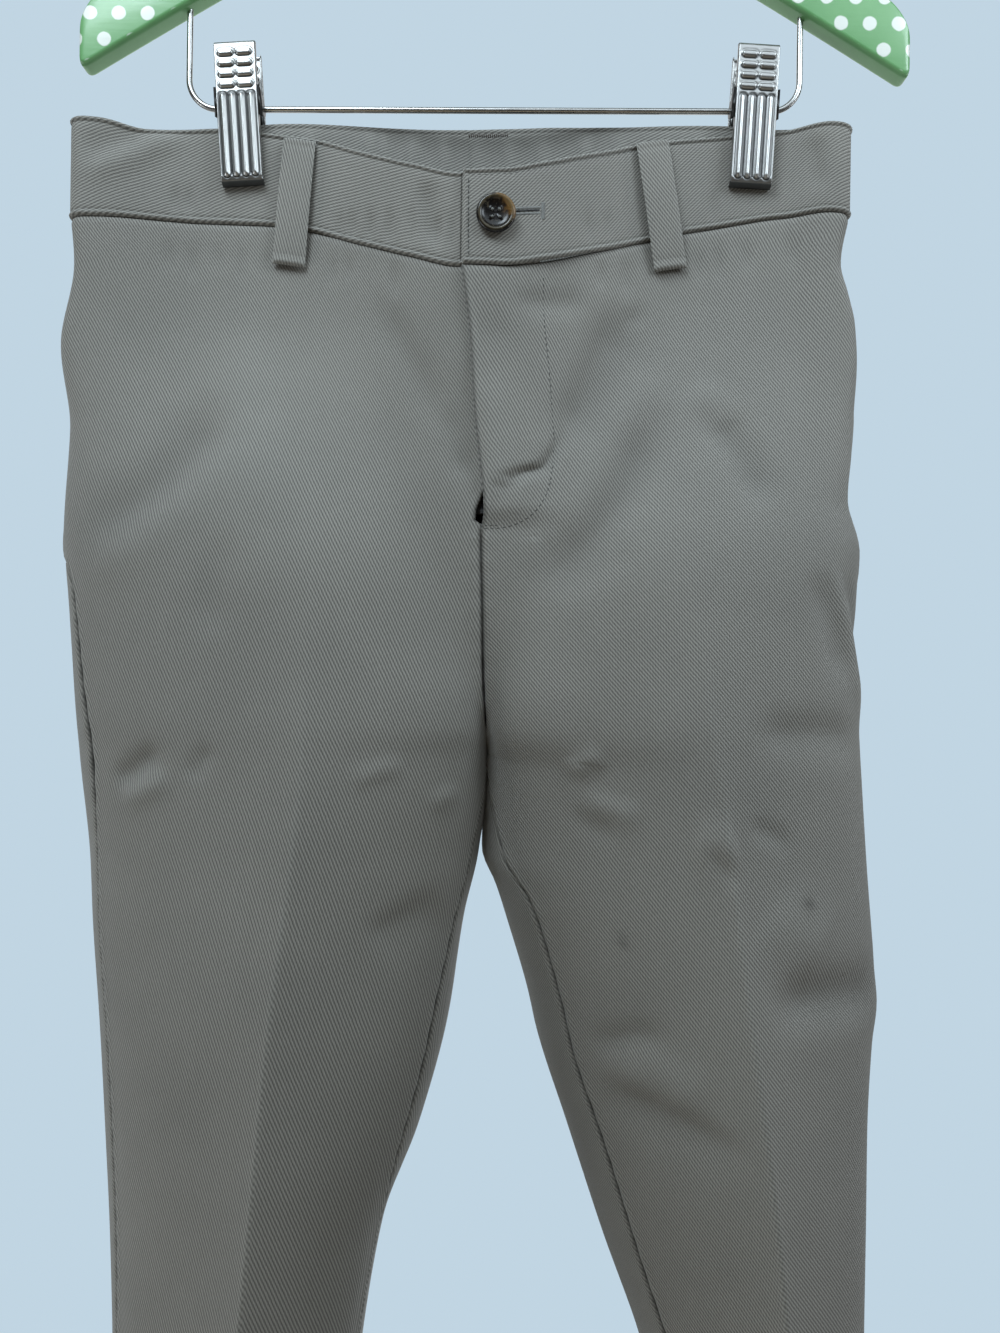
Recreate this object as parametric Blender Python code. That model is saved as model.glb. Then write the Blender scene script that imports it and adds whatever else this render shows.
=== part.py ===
"""Child's flat-front dress trousers, hung by the waistband from the two clips of a wooden hanger.

The origin is where the hook bears on what holds it. +X is to the right seen from the front,
+Y to the back and +Z up. Right and left in names are the wearer's, so the right leg is at -X.
Sizes and tables are in millimetres, and drop is the depth below the hanger's bar. Each leg is
a closed section of four curves: inner fold, front crease, outer fold, back crease. Place q
runs round it from 0 to 4 in that order. Above the crotch the inner fold opens into the centre
front and centre back seams, so both halves make one tube.
"""
import math

import bmesh
import bpy
import numpy as np

MM = 0.001
BAR_Z = -210.0

# Cloth
CLOTH_WALL = 1.2
BAND_WALL = 2.0
LOOP_WALL = 1.6
TAPE_WALL = 1.0
SEAM_GAP = 0.4
CROTCH_EASE = 0.35
LAYER_GAP = 0.5
WAIST_ROW = 40.0
CENTRE_SAG = 32.0
SAG_END = 240.0
CROTCH_DROP = 264.0
HEM_DROP = 893.0
CENTRE_CLEAR = 0.2
FOLD_CLEAR = 0.85

# Waist ring in plan
CLIP_X = {"right": -103.6, "left": 105.9}
CLIP_FLAT = 13.0
RING_CENTRE = -4.0
PINCH_HALF = 1.35
FRONT_SAG = 22.0
BACK_SAG = 9.0
SIDE_BULGE = 4.0
SIDE_Y = 1.0
RING_END = 0.3
RING_BLEND_END = 200.0
RING_SIDE_REACH = 0.7

# Sections
HIP_HANDLE = 0.74
LEG_HANDLE = 0.57
HANDLE_FROM = 220.0
HANDLE_TO = 380.0
CREASE_HANDLE = 1 / 3
FOLD_CLEAR_FROM = 236.0
LEG_FROM = 303.0

# Fly
FLY_END = 176.0
FLY_FADE = 34.0
PANEL_LAP = 8.0
PANEL_LIFT = CLOTH_WALL + LAYER_GAP
BAND_LIFT = BAND_WALL + LAYER_GAP
BAND_UNDERLAP = 30.0
ZIP_FROM = -6.0
ZIP_TO = 14.0
ZIP_TOP_ROW = 41.0
ZIP_END_ROW = 157.0

# Pockets
FACING_REACH = 9.0
MOUTH_END = 188.0

# Belt loops: where the strap starts and ends, in x and drop
LOOP_WIDTH = 13.5
LOOP_PROUD = 1.6
LOOP_CLEAR = 0.7

# Waist button
BUTTON_X = 1.7
BUTTON_DROP = 54.6
BUTTON_RADIUS = 7.6
BUTTON_THICK = 2.6
BUTTON_RIM = 1.6
BUTTON_HOLE_RADIUS = 0.9
BUTTON_HOLE_OUT = 1.7

# Hanger
WOOD_THICK = 10.0
WOOD_HALF = 168.6
WOOD_EDGE = 2.2
ARM_SLOPE = 0.64
ARM_BEND = 45.0
ARM_TIP_DROP = -12.3
ARM_HEIGHT = 28.0
HUB_EXTRA = 6.0
HUB_WIDTH = 30.0
TIP_LOWER_ROUND = 4.0
TIP_UPPER_ROUND = 11.0
WIRE_RADIUS = 1.2
WIRE_LEG_X = 125.0
BAR_RISE = 0.0095
WIRE_CORNER = 12.0
WIRE_SEAT = 9.0
HOOK_WIRE = 1.8
HOOK_RADIUS = 20.0
STEM_SEAT = 12.0
BORE_CLEAR = 0.35

# Clips
CLIP_TILT = {"right": math.radians(4.2), "left": math.radians(-2.9)}
CLIP_WIDTH = 17.0
EAR_WALL = 0.8
EAR_RADIUS = 3.2
EAR_HALF = 6.0
EAR_ROOT_Y = 6.65
EAR_SWEEP = math.radians(65)
EAR_X = {"front": 7.9, "back": 6.7}
SPRING_WIRE = 0.45
SPRING_RADIUS = 2.3
SPRING_TURNS = 4
SPRING_LENGTH = 8.4
SPRING_LEG_TOP = 13.0
SPRING_LEG_Y = 4.8


def table(names, rows):
    """Columns of a table by name."""
    return dict(zip(names.split(), np.array(rows, dtype=float).T))


# Outline of each leg's outside face. seam_out and seam_in are how far the side seam and the
# inseam lie inside the folds, on the front. Above the crotch the inner edge is CENTRE_LINE.
OUTLINE = "drop outer crease inner seam_out seam_in"
LEGS = {
    "right": table(OUTLINE, (
        (40, -172.5, -78, 1.2, 0, 0),
        (60, -170.8, -74, 1.2, 0, 0),
        (92, -175.5, -70, 1.2, 0, 0),
        (130, -170.7, -67, 1.2, 0, 0),
        (171, -171.7, -66, 1.2, 0, 0),
        (200, -169.3, -65.5, 1.2, 7, 0),
        (235, -166.3, -66, 1.2, 9, 0),
        (264, -164.3, -66.3, 1.2, 12, 0),
        (303, -159.7, -69, -2, 9.5, 3),
        (330, -158.1, -72, -7.8, 9, 3.3),
        (370, -154.3, -76, -13.5, 9, 5.5),
        (411, -150.8, -79, -24, 9, 5.5),
        (451, -147.9, -82, -38.5, 8.5, 1),
        (507, -145.6, -87, -47.5, 7, 1),
        (600, -143, -94, -57, 6, 1),
        (740, -141, -99, -61, 5, 1),
        (893, -139, -100, -62, 4, 1),
    )),
    "left": table(OUTLINE, (
        (40, 145.9, 72, 1.2, 0, 0),
        (60, 142.6, 71, 1.2, 0, 0),
        (72, 145.8, 70.6, 1.2, 0, 0),
        (84, 148.6, 70.2, 1.2, 0, 0),
        (100, 149.5, 70, 1.2, 0, 0),
        (119, 148.4, 70, 1.2, 0, 0),
        (140, 146.8, 70, 1.2, 2, 0),
        (160, 145.7, 71, 1.2, 4, 0),
        (180, 149.6, 73, 1.2, 1.5, 0),
        (200, 148.8, 76, 1.2, 0, 0),
        (235, 149.3, 81.5, 1.2, 0, 0),
        (264, 151.5, 86, 1.2, 0, 0.5),
        (303, 154.7, 91, 3.2, 0, 11),
        (330, 157.2, 94, 9.6, 0, 13),
        (358, 159.7, 97.6, 18.4, 0, 12.5),
        (375, 157.6, 99.6, 22.5, 0, 12.5),
        (411, 155.6, 104.5, 34.8, 0, 13),
        (451, 155.2, 109, 48.5, 0, 12.5),
        (507, 154.5, 113.5, 68.5, 0, 10.5),
        (550, 154.3, 116, 77, 0, 9.5),
        (610, 154, 118, 81, 0, 8),
        (740, 153.5, 119, 82, 0, 6),
        (893, 152, 118, 78, 0, 4),
    )),
}

# Depth of both legs. crease is 0 where the section is round and 1 where it is a straight-sided
# diamond, and turn is 0 where the halves run on into each other and 1 where a leg folds back.
DEPTHS = table("drop centre_front front side back centre_back crease turn", (
    (40, -25, -14, 1, 9, 10, 0, 0),
    (100, -28, -26, 1, 16, 14, 0, 0),
    (150, -30, -34, 0, 23, 20, 0.1, 0.05),
    (200, -29, -40, 0, 29, 24, 0.3, 0.2),
    (235, -25, -44, 0, 33, 24, 0.4, 0.4),
    (254, -17, -46, 1, 36, 19, 0.45, 0.7),
    (264, -6, -47, 2, 37, -6, 0.5, 1),
    (303, 2, -50, 2, 41, 2, 0.6, 1),
    (370, 0, -55, 0, 46, 0, 0.7, 1),
    (450, -2, -58, -2, 49, -2, 0.75, 1),
    (600, -2, -58, -2, 50, -2, 0.75, 1),
    (893, -2, -56, -2, 48, -2, 0.8, 1),
))

# Centre front line, which is also the fly's edge down to FLY_END, and how far the right front
# laps under it. The lap draws back at the foot of the fly, where the zip shows.
CENTRE_LINE = table("drop x lap", (
    (72, -11.3, 6),
    (100, -7.6, 6),
    (127, -5.7, 6),
    (146, -3.5, 5),
    (158, -2.0, 1),
    (168, -1.0, -3.2),
    (173, -1.8, -1.2),
    (176, -2.3, -0.2),
    (203, -1.5, -0.2),
    (233, -0.7, -0.2),
    (256, 0.7, -0.2),
    (264, 1.2, -0.2),
))

# Upper and lower edge of the waistband, as drops, along x.
WAIST = table("x front_top front_bottom back_top back_bottom", (
    (-175, 7, 47.6, 7, 47.6),
    (-160, 7.9, 47.6, 7.1, 46.2),
    (-140, 11.9, 48.1, 10.4, 46),
    (-112, 9.9, 48.6, 8.6, 45.5),
    (-88, 12, 49.2, 6.2, 44.5),
    (-72, 15, 52.7, 5.6, 44),
    (-52, 23, 60, 5, 43.5),
    (-32, 31, 67.4, 4, 42.8),
    (-12, 36.8, 73, 2.9, 42),
    (4, 36, 73.2, 2.3, 41.5),
    (20, 31.9, 70.1, 2.2, 41.5),
    (40, 24.2, 63.5, 3.2, 41.5),
    (60, 16.7, 56.5, 4.2, 41.8),
    (78, 12.2, 50.5, 4.4, 42),
    (97, 9.8, 46.6, 4.6, 42.2),
    (116, 7.9, 43.3, 5.8, 42),
    (136, 5.4, 41.7, 4.4, 41.6),
    (148, 6.5, 42.8, 6.5, 42.8),
))

# Largest folds: centre, direction in degrees down from +X, length, width and depth inwards.
FOLDS = table("x drop angle length width depth", (
    (136, 350, 18, 60, 9, 3.0),
    (24, 192, -52, 60, 9, 1.6),
    (-140, 281, 8, 46, 8, 1.5),
    (-100, 70, 68, 40, 9, 1.0),
    (-52, 92, 84, 46, 8, 1.2),
    (62, 88, 96, 46, 9, 1.2),
))

# Straps: x and drop at the top and at the foot.
BELT_LOOPS = {
    "belt_loop_front_right": ("front", -77.5, 17.0, -81.0, 68.4),
    "belt_loop_front_left": ("front", 63.8, 15.9, 72.2, 66.7),
    "belt_loop_back_right": ("back", -66.0, 4.6, -68.0, 57.0),
    "belt_loop_back_centre": ("back", -8.0, 3.0, -8.0, 56.0),
    "belt_loop_back_left": ("back", 62.0, 2.8, 64.0, 55.5),
}

# Outline of a jaw's side: distance from the bar's plane and height over the bar. It runs down
# the outer face, round the lip that grips the cloth, and up the inner face.
JAW_OUTLINE = table("out up", (
    (6.4, 23.5),
    (7.2, 0),
    (7.0, -31.2),
    (6.3, -32.8),
    (3.0, -33.9),
    (3.0, -32.9),
    (5.5, -32.0),
    (6.0, -31.0),
    (6.2, 0),
    (5.4, 23.5),
))

PANEL_ROWS = (40.35, 50, 66, 88, 112, 136, 150, 158, 165, 178, 196, 216, 236, 250, 258, 262.5,
              267, 280, 303, 330, 366, 408, 455, 502, 550, 620, 745, HEM_DROP)
HALF_COLUMNS = 8
LOOP_ROWS = 9
TUBE_SIDES = 8

COLOURS = {
    "twill": ((0.196, 0.200, 0.178), 0.85, 0.0),
    "tape": ((0.012, 0.012, 0.013), 0.8, 0.0),
    "button": ((0.085, 0.048, 0.028), 0.3, 0.0),
    "painted_wood": ((0.25, 0.48, 0.24), 0.4, 0.0),
    "steel": ((0.62, 0.60, 0.57), 0.28, 1.0),
}


def smooth_step(start, end, value):
    """0 before start, 1 after end, an S-curve between."""
    part = np.clip((value - start) / (end - start), 0, 1)
    return part * part * (3 - 2 * part)


def read(source, along, name, at):
    """Smooth curve through a column: cubic pieces with slopes that never overshoot."""
    xs, ys = source[along], source[name]
    at = np.clip(at, xs[0], xs[-1])
    step = np.diff(xs)
    rise = np.diff(ys) / step
    product = rise[:-1] * rise[1:]
    total = np.where(product > 0, rise[:-1] + rise[1:], 1)
    slope = np.concatenate((rise[:1], np.where(product > 0, 2 * product / total, 0), rise[-1:]))
    row = np.clip(np.searchsorted(xs, at, side="right") - 1, 0, len(step) - 1)
    t = (at - xs[row]) / step[row]
    start = ys[row] * (1 + 2 * t) * (1 - t) ** 2 + ys[row + 1] * t * t * (3 - 2 * t)
    bend = slope[row] * t * (1 - t) ** 2 - slope[row + 1] * t * t * (1 - t)
    return start + bend * step[row]


def sag_fade(row):
    return 1 - smooth_step(WAIST_ROW, SAG_END, row)


def centre_drop(row):
    """Drop of a row on the centre line, where the waist hangs lowest."""
    return row + CENTRE_SAG * sag_fade(row)


def ring_depth(x, side, sag):
    """How far the waist stands from the clip plane: sagging between the clips, bulging beyond."""
    clip = CLIP_X[side]
    edge = LEGS[side]["outer"][0]
    from_clip = np.maximum(np.abs(x - clip) - CLIP_FLAT, 0)
    within = np.abs(x) < abs(clip)
    span = np.where(within, abs(clip - RING_CENTRE), abs(edge - clip)) - CLIP_FLAT
    part = np.clip(from_clip / span, 0, 1)
    inside = sag * np.sin(part * math.pi / 2) ** 2
    outside = SIDE_BULGE * smooth_step(0, RING_SIDE_REACH, part)
    return PINCH_HALF + np.where(within, inside, outside)


def quarter(t, start, end, first, last):
    """Cubic curve from start to end with the two given handles."""
    return (start * (1 - t) ** 3 + 3 * (start + first) * t * (1 - t) ** 2
            + 3 * (end + last) * t * t * (1 - t) + end * t ** 3)


def section(side, q, row):
    """Plan of one half's section at place q and at a row."""
    leg = LEGS[side]
    out = -1 if side == "right" else 1
    centre = read(CENTRE_LINE, "drop", "x", centre_drop(row))
    clear = CENTRE_CLEAR + (FOLD_CLEAR - CENTRE_CLEAR) * smooth_step(FOLD_CLEAR_FROM, CROTCH_DROP, row)
    inner_leg = read(leg, "drop", "inner", row) + out * CLOTH_WALL / 2
    in_leg = smooth_step(CROTCH_DROP, LEG_FROM, row)
    inner = (centre + out * clear) * (1 - in_leg) + inner_leg * in_leg
    outer = read(leg, "drop", "outer", row) - out * CLOTH_WALL / 2
    front_x = read(leg, "drop", "crease", row)
    back_x = outer + inner - front_x
    depth = {name: read(DEPTHS, "drop", name, row) for name in DEPTHS if name != "drop"}
    reach = HIP_HANDLE + (LEG_HANDLE - HIP_HANDLE) * smooth_step(HANDLE_FROM, HANDLE_TO, row)

    corners = (
        (inner, depth["centre_front"]), (front_x, depth["front"]), (outer, depth["side"]),
        (back_x, depth["back"]), (inner, depth["centre_back"]),
    )
    x = np.zeros(np.broadcast(q, row).shape)
    y = np.zeros_like(x)
    for piece in range(4):
        (ax, ay), (bx, by) = corners[piece], corners[piece + 1]
        dx, dy = bx - ax, by - ay
        straight = depth["crease"] * CREASE_HANDLE
        at_crease = (dx * (reach * (1 - depth["crease"]) + straight), dy * straight)
        at_outer = (0 * dx, dy * reach)
        at_inner = (dx * reach * (1 - depth["turn"]), dy * reach * depth["turn"])
        first = (at_inner, at_crease, at_outer, at_crease)[piece]
        last = (at_crease, at_outer, at_crease, at_inner)[piece]
        t = q - piece
        here = (t >= 0) & (t <= 1)
        x = np.where(here, quarter(t, ax, bx, first[0], -last[0]), x)
        y = np.where(here, quarter(t, ay, by, first[1], -last[1]), y)

    front = q < 2
    ring = np.where(front, -ring_depth(x, side, FRONT_SAG), ring_depth(x, side, BACK_SAG))
    end = np.sin(math.pi / 2 * np.clip(np.abs(q - 2) / RING_END, 0, 1))
    ring = SIDE_Y + (ring - SIDE_Y) * end
    blend = smooth_step(WAIST_ROW, RING_BLEND_END, row)
    return x, ring + (y - ring) * blend


def other(side):
    return "left" if side == "right" else "right"


def section_round(side, q, row):
    """Section past its ends: on into the other half above the crotch, round again below."""
    q, row = np.broadcast_arrays(np.asarray(q, dtype=float), np.asarray(row, dtype=float))
    above = row < CROTCH_DROP
    past = (q < 0) | (q > 4)
    wrapped = np.where(q < 0, np.where(above, -q, q + 4), np.where(above, 8 - q, q - 4))
    x, y = section(side, np.where(past, wrapped, q), row)
    far_x, far_y = section(other(side), np.where(past, wrapped, q), row)
    cross = past & above
    return np.where(cross, far_x, x), np.where(cross, far_y, y)


def fold_relief(x, drop):
    """Depth of the largest folds: each a trough with soft sides and tapered ends."""
    relief = np.zeros_like(x)
    for fx, fd, angle, length, width, depth in zip(*FOLDS.values()):
        c, s = math.cos(math.radians(angle)), math.sin(math.radians(angle))
        along = (x - fx) * c + (drop - fd) * s
        across = (drop - fd) * c - (x - fx) * s
        ends = 1 - smooth_step(0.25 * length, 0.5 * length, np.abs(along))
        relief = relief + depth * ends * np.exp(-(across / (0.5 * width)) ** 2)
    return relief


def panel_point(side, q, row):
    """Point of the middle of a panel's wall."""
    q, row = np.broadcast_arrays(np.asarray(q, dtype=float), np.asarray(row, dtype=float))
    x, y = section_round(side, q, row)
    edge = np.where(q < 2, read(WAIST, "x", "front_bottom", x), read(WAIST, "x", "back_bottom", x))
    drop = row + (edge - WAIST_ROW) * sag_fade(row)
    face = smooth_step(0.02, 0.3, q) * (1 - smooth_step(1.8, 1.98, q))
    y = y + fold_relief(x, drop) * face
    return np.stack((x, y, BAR_Z - drop), axis=-1)


def band_point(side, q, part):
    """Point of the middle of the waistband, with part 0 at its top edge and 1 at its seam."""
    q, part = np.broadcast_arrays(np.asarray(q, dtype=float), np.asarray(part, dtype=float))
    x, y = section_round(side, q, np.full(q.shape, WAIST_ROW))
    front = (q < 2)
    top = np.where(front, read(WAIST, "x", "front_top", x), read(WAIST, "x", "back_top", x))
    foot = np.where(front, read(WAIST, "x", "front_bottom", x), read(WAIST, "x", "back_bottom", x))
    return np.stack((x, y, BAR_Z - top - part * (foot - top)), axis=-1)


def outward(point, side, q, row, q_step=0.004, row_step=0.5):
    """Unit normal of a surface, from the differences across each place."""
    across = point(side, q + q_step, row) - point(side, q - q_step, row)
    down = point(side, q, row + row_step) - point(side, q, row - row_step)
    normal = np.cross(across, down) if side == "right" else np.cross(down, across)
    return normal / np.linalg.norm(normal, axis=-1, keepdims=True)


def speed(side, q, row, step=0.01):
    """Millimetres of cloth for one unit of q."""
    ahead, behind = panel_point(side, q + step, row), panel_point(side, q - step, row)
    return np.linalg.norm(ahead - behind, axis=-1) / (2 * step)


def place_of(side, row, x, front=True):
    """Place q on the front or back where each row's section has the given x."""
    places = np.linspace(0, 2, 121) if front else np.linspace(4, 2, 121)
    out = -1 if side == "right" else 1
    found = []
    for one_row, one_x in zip(np.atleast_1d(row), np.atleast_1d(x)):
        xs = section(side, places, np.full(places.shape, one_row))[0]
        found.append(np.interp(out * one_x, np.maximum.accumulate(out * xs), places))
    return np.array(found)


def seam_places(side, rows):
    """Places of the side seam and of the inseam, row by row."""
    leg = LEGS[side]
    out = -1 if side == "right" else 1
    outer = section(side, np.full(rows.shape, 2.0), rows)[0]
    inner = section(side, np.zeros(rows.shape), rows)[0]
    side_seam = place_of(side, rows, outer - out * read(leg, "drop", "seam_out", rows))
    inseam = place_of(side, rows, inner + out * read(leg, "drop", "seam_in", rows))
    side_seam = np.where(read(leg, "drop", "seam_out", rows) < 0.05, 2.0, side_seam)
    inseam = np.where(read(leg, "drop", "seam_in", rows) < 0.05, 0.0, inseam)
    return side_seam, inseam


def material(name):
    """One Principled material for each finish."""
    if name in bpy.data.materials:
        return bpy.data.materials[name]
    colour, roughness, metallic = COLOURS[name]
    made = bpy.data.materials.new(name)
    made.use_nodes = True
    shader = made.node_tree.nodes["Principled BSDF"]
    shader.inputs["Base Color"].default_value = (*colour, 1)
    shader.inputs["Roughness"].default_value = roughness
    shader.inputs["Metallic"].default_value = metallic
    return made


def add_object(name, points, faces, finish):
    """Object of a closed mesh given in millimetres, with its faces turned outwards."""
    mesh = bpy.data.meshes.new(name)
    mesh.from_pydata((np.asarray(points, dtype=float) * MM).tolist(), [], faces)
    shape = bmesh.new()
    shape.from_mesh(mesh)
    bmesh.ops.recalc_face_normals(shape, faces=shape.faces)
    shape.to_mesh(mesh)
    shape.free()
    mesh.materials.append(material(finish))
    made = bpy.data.objects.new(name, mesh)
    bpy.context.scene.collection.objects.link(made)
    return made


def grid_faces(rows, columns, first=0):
    """Quads of a grid whose points run column by column within each row."""
    return [(first + r * columns + c, first + (r + 1) * columns + c,
             first + (r + 1) * columns + c + 1, first + r * columns + c + 1)
            for r in range(rows - 1) for c in range(columns - 1)]


def wall(name, middle, normal, thickness, finish):
    """Closed wall about a grid of points, half its thickness to each side."""
    rows, columns = middle.shape[:2]
    count = rows * columns
    outer = (middle + normal * thickness / 2).reshape(-1, 3)
    inner = (middle - normal * thickness / 2).reshape(-1, 3)
    faces = grid_faces(rows, columns)
    faces += [tuple(reversed(face)) for face in grid_faces(rows, columns, count)]
    rim = [c for c in range(columns)]
    rim += [r * columns + columns - 1 for r in range(1, rows)]
    rim += [(rows - 1) * columns + c for c in range(columns - 2, -1, -1)]
    rim += [r * columns for r in range(rows - 2, 0, -1)]
    faces += [(a, b, b + count, a + count) for a, b in zip(rim, rim[1:] + rim[:1])]
    return add_object(name, np.concatenate((outer, inner)), faces, finish)


def fly_lift(x, drop, lift, lap):
    """How far the left side stands forward over the right one, which laps under it this far."""
    across = x - read(CENTRE_LINE, "drop", "x", drop)
    above_foot = 1 - smooth_step(FLY_END - 10, FLY_END, drop)
    return lift * (1 - smooth_step(lap, lap + FLY_FADE, across)) * above_foot


def spread(start, middle, end, count):
    """Places from start to end through middle, with count steps in each half."""
    part = np.linspace(0, 1, count + 1)
    first = start[:, None] + (middle - start)[:, None] * part
    last = middle[:, None] + (end - middle)[:, None] * part
    return np.concatenate((first, last[:, 1:]), axis=1)


def half_gap(rows):
    """Half of the gap at a seam, a little wider where four seams meet at the crotch."""
    return SEAM_GAP / 2 + CROTCH_EASE * np.exp(-((rows - CROTCH_DROP - 4) / 10) ** 2)


def front_places(side, rows):
    """Places of a front panel's columns, from the fly or inseam to the side seam."""
    side_seam, inseam = seam_places(side, rows)
    drops = centre_drop(rows)
    start = inseam + half_gap(rows) / speed(side, inseam, rows)
    if side == "right":
        lap = read(CENTRE_LINE, "drop", "lap", drops)
        fly = drops < FLY_END + 2
        lapped = -lap / speed(side, np.where(lap > 0, -0.01, 0.01), rows)
        start = np.where(fly, lapped, start)
    start = np.where((rows < CROTCH_DROP) & (side == "left"), 0, start)
    end = side_seam - half_gap(rows) / speed(side, side_seam, rows)
    return spread(start, np.ones(rows.shape), end, HALF_COLUMNS)


def add_front(side):
    """Front panel. The left one stands forward over the right one at the fly."""
    rows = np.array(PANEL_ROWS)
    q = front_places(side, rows)
    rows = np.broadcast_to(rows[:, None], q.shape)
    middle = panel_point(side, q, rows)
    normal = outward(panel_point, side, q, rows)
    if side == "left":
        drop = BAR_Z - middle[..., 2]
        middle[..., 1] -= fly_lift(middle[..., 0], drop, PANEL_LIFT, PANEL_LAP)
    return wall("front_" + side, middle, normal, CLOTH_WALL, "twill")


def back_places(side, rows):
    """Places of a back panel's columns, from the side seam to the centre back seam or inseam."""
    side_seam, inseam = seam_places(side, rows)
    mouth = rows < MOUTH_END
    start = np.where(mouth, 2.0, side_seam)
    start = start + half_gap(rows) / speed(side, start, rows)
    foot = np.where(rows < CROTCH_DROP, 4.0, 4 + inseam)
    end = foot - np.where(rows < CROTCH_DROP, 0, half_gap(rows) / speed(side, foot, rows))
    return spread(start, np.full(rows.shape, 3.0), end, HALF_COLUMNS)


def add_back(side):
    """Back panel."""
    rows = np.array(PANEL_ROWS)
    q = back_places(side, rows)
    rows = np.broadcast_to(rows[:, None], q.shape)
    return wall("back_" + side, panel_point(side, q, rows), outward(panel_point, side, q, rows),
                CLOTH_WALL, "twill")


def add_front_band(side):
    """Front half of the waistband. The right one runs on under the left one."""
    part = np.linspace(0, 1, 3)[:, None]
    q = front_places(side, np.array(PANEL_ROWS[:1]))
    if side == "right":
        reach = -place_of("left", np.array([WAIST_ROW]), LEG_CENTRE_X + BAND_UNDERLAP)[0]
        under = np.linspace(reach, q[0, 0], 5)[None, :-1]
        q = np.concatenate((under, q), axis=1)
    middle = band_point(side, q, part)
    normal = outward(band_point, side, q, part)
    if side == "left":
        drop = np.full(q.shape, CENTRE_LINE["drop"][0])
        middle[..., 1] -= fly_lift(middle[..., 0], drop, BAND_LIFT, BAND_UNDERLAP)
    return wall("waistband_front_" + side, middle, normal, BAND_WALL, "twill")


def add_back_band():
    """Back waistband, in one piece from side seam to side seam."""
    part = np.linspace(0, 1, 3)[:, None]
    halves = []
    for side in ("right", "left"):
        q = back_places(side, np.array(PANEL_ROWS[:1]))
        halves.append((band_point(side, q, part), outward(band_point, side, q, part)))
    (right, right_normal), (left, left_normal) = halves
    middle = np.concatenate((right, left[:, -2::-1]), axis=1)
    normal = np.concatenate((right_normal, left_normal[:, -2::-1]), axis=1)
    return wall("waistband_back", middle, normal, BAND_WALL, "twill")


def add_belt_loop(name, face, top_x, top_drop, foot_x, foot_drop):
    """Strap from the band's top edge to below its seam, standing off the band in between."""
    front = face == "front"
    side = "right" if top_x < LEG_CENTRE_X else "left"
    part = np.linspace(0, 1, LOOP_ROWS)
    x = top_x + (foot_x - top_x) * part
    drop = top_drop + (foot_drop - top_drop) * part
    below = np.maximum(drop - read(WAIST, "x", face + "_bottom", x), 0)
    row = WAIST_ROW + below
    outwards = -1 if front else 1
    arch = LOOP_PROUD * np.sin(math.pi * part) ** 0.7
    proud = (BAND_WALL + LOOP_WALL) / 2 + LOOP_CLEAR + arch
    columns = []
    for across in (-LOOP_WIDTH / 2, 0.0, LOOP_WIDTH / 2):
        place = place_of(side, row, x + across, front)
        y = section(side, place, row)[1] + outwards * proud
        edge = read(WAIST, "x", face + "_top", x + across) - read(WAIST, "x", face + "_top", x)
        columns.append(np.stack((x + across, y, BAR_Z - drop - edge), axis=-1))
    middle = np.stack(columns, axis=1)
    normal = np.zeros_like(middle)
    normal[..., 1] = outwards
    return wall(name, middle, normal, LOOP_WALL, "twill")


def add_zip():
    """Zip tape behind both edges of the fly."""
    rows = np.linspace(ZIP_TOP_ROW, ZIP_END_ROW, 9)
    start = -ZIP_FROM / speed("right", np.full(rows.shape, 0.02), rows)
    end = -ZIP_TO / speed("right", np.full(rows.shape, -0.02), rows)
    part = np.linspace(0, 1, 5)
    q = start[:, None] + (end - start)[:, None] * part
    rows = np.broadcast_to(rows[:, None], q.shape)
    normal = outward(panel_point, "right", q, rows)
    inset = (CLOTH_WALL + TAPE_WALL) / 2 + 2 * LAYER_GAP
    return wall("fly_zip", panel_point("right", q, rows) - normal * inset, normal, TAPE_WALL, "tape")


def add_facing(side):
    """Facing behind the pocket mouth, round the inside of the outer fold."""
    rows = np.array([row for row in PANEL_ROWS if row < MOUTH_END])
    out = -1 if side == "right" else 1
    fold_x = section(side, np.full(rows.shape, 2.0), rows)[0]
    seam_out = read(LEGS[side], "drop", "seam_out", rows)
    start = place_of(side, rows, fold_x - out * (seam_out + FACING_REACH))
    end = place_of(side, rows, fold_x - out * FACING_REACH, front=False)
    q = start[:, None] + (end - start)[:, None] * np.linspace(0, 1, 9)
    rows = np.broadcast_to(rows[:, None], q.shape)
    normal = outward(panel_point, side, q, rows)
    inset = CLOTH_WALL + 3 * LAYER_GAP
    return wall("pocket_facing_" + side, panel_point(side, q, rows) - normal * inset, normal,
                CLOTH_WALL, "twill")


def tube(name, route, radius, finish, sides=TUBE_SIDES):
    """Round bar along a route of points, with flat ends."""
    curve = bpy.data.curves.new(name, "CURVE")
    curve.dimensions = "3D"
    curve.bevel_depth = radius * MM
    curve.bevel_resolution = sides // 2 - 2
    curve.use_fill_caps = True
    spline = curve.splines.new("POLY")
    spline.points.add(len(route) - 1)
    for point, place in zip(spline.points, route):
        point.co = (place[0] * MM, place[1] * MM, place[2] * MM, 1)
    curve.materials.append(material(finish))
    made = bpy.data.objects.new(name, curve)
    bpy.context.scene.collection.objects.link(made)
    return made


def arc(centre, radius, start, end, count):
    """Points on an arc in the XZ plane, with angles in degrees from +X towards +Z."""
    angles = np.radians(np.linspace(start, end, count))
    return [(centre[0] + radius * math.cos(a), 0.0, centre[1] + radius * math.sin(a))
            for a in angles]


def cut(target, cutter):
    """Take the cutter's shape out of the target, and keep the cutter as a hidden guide."""
    cutter.hide_render = True
    cutter.display_type = "WIRE"
    hole = target.modifiers.new("bore", "BOOLEAN")
    hole.operation = "DIFFERENCE"
    hole.object = cutter


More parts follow.
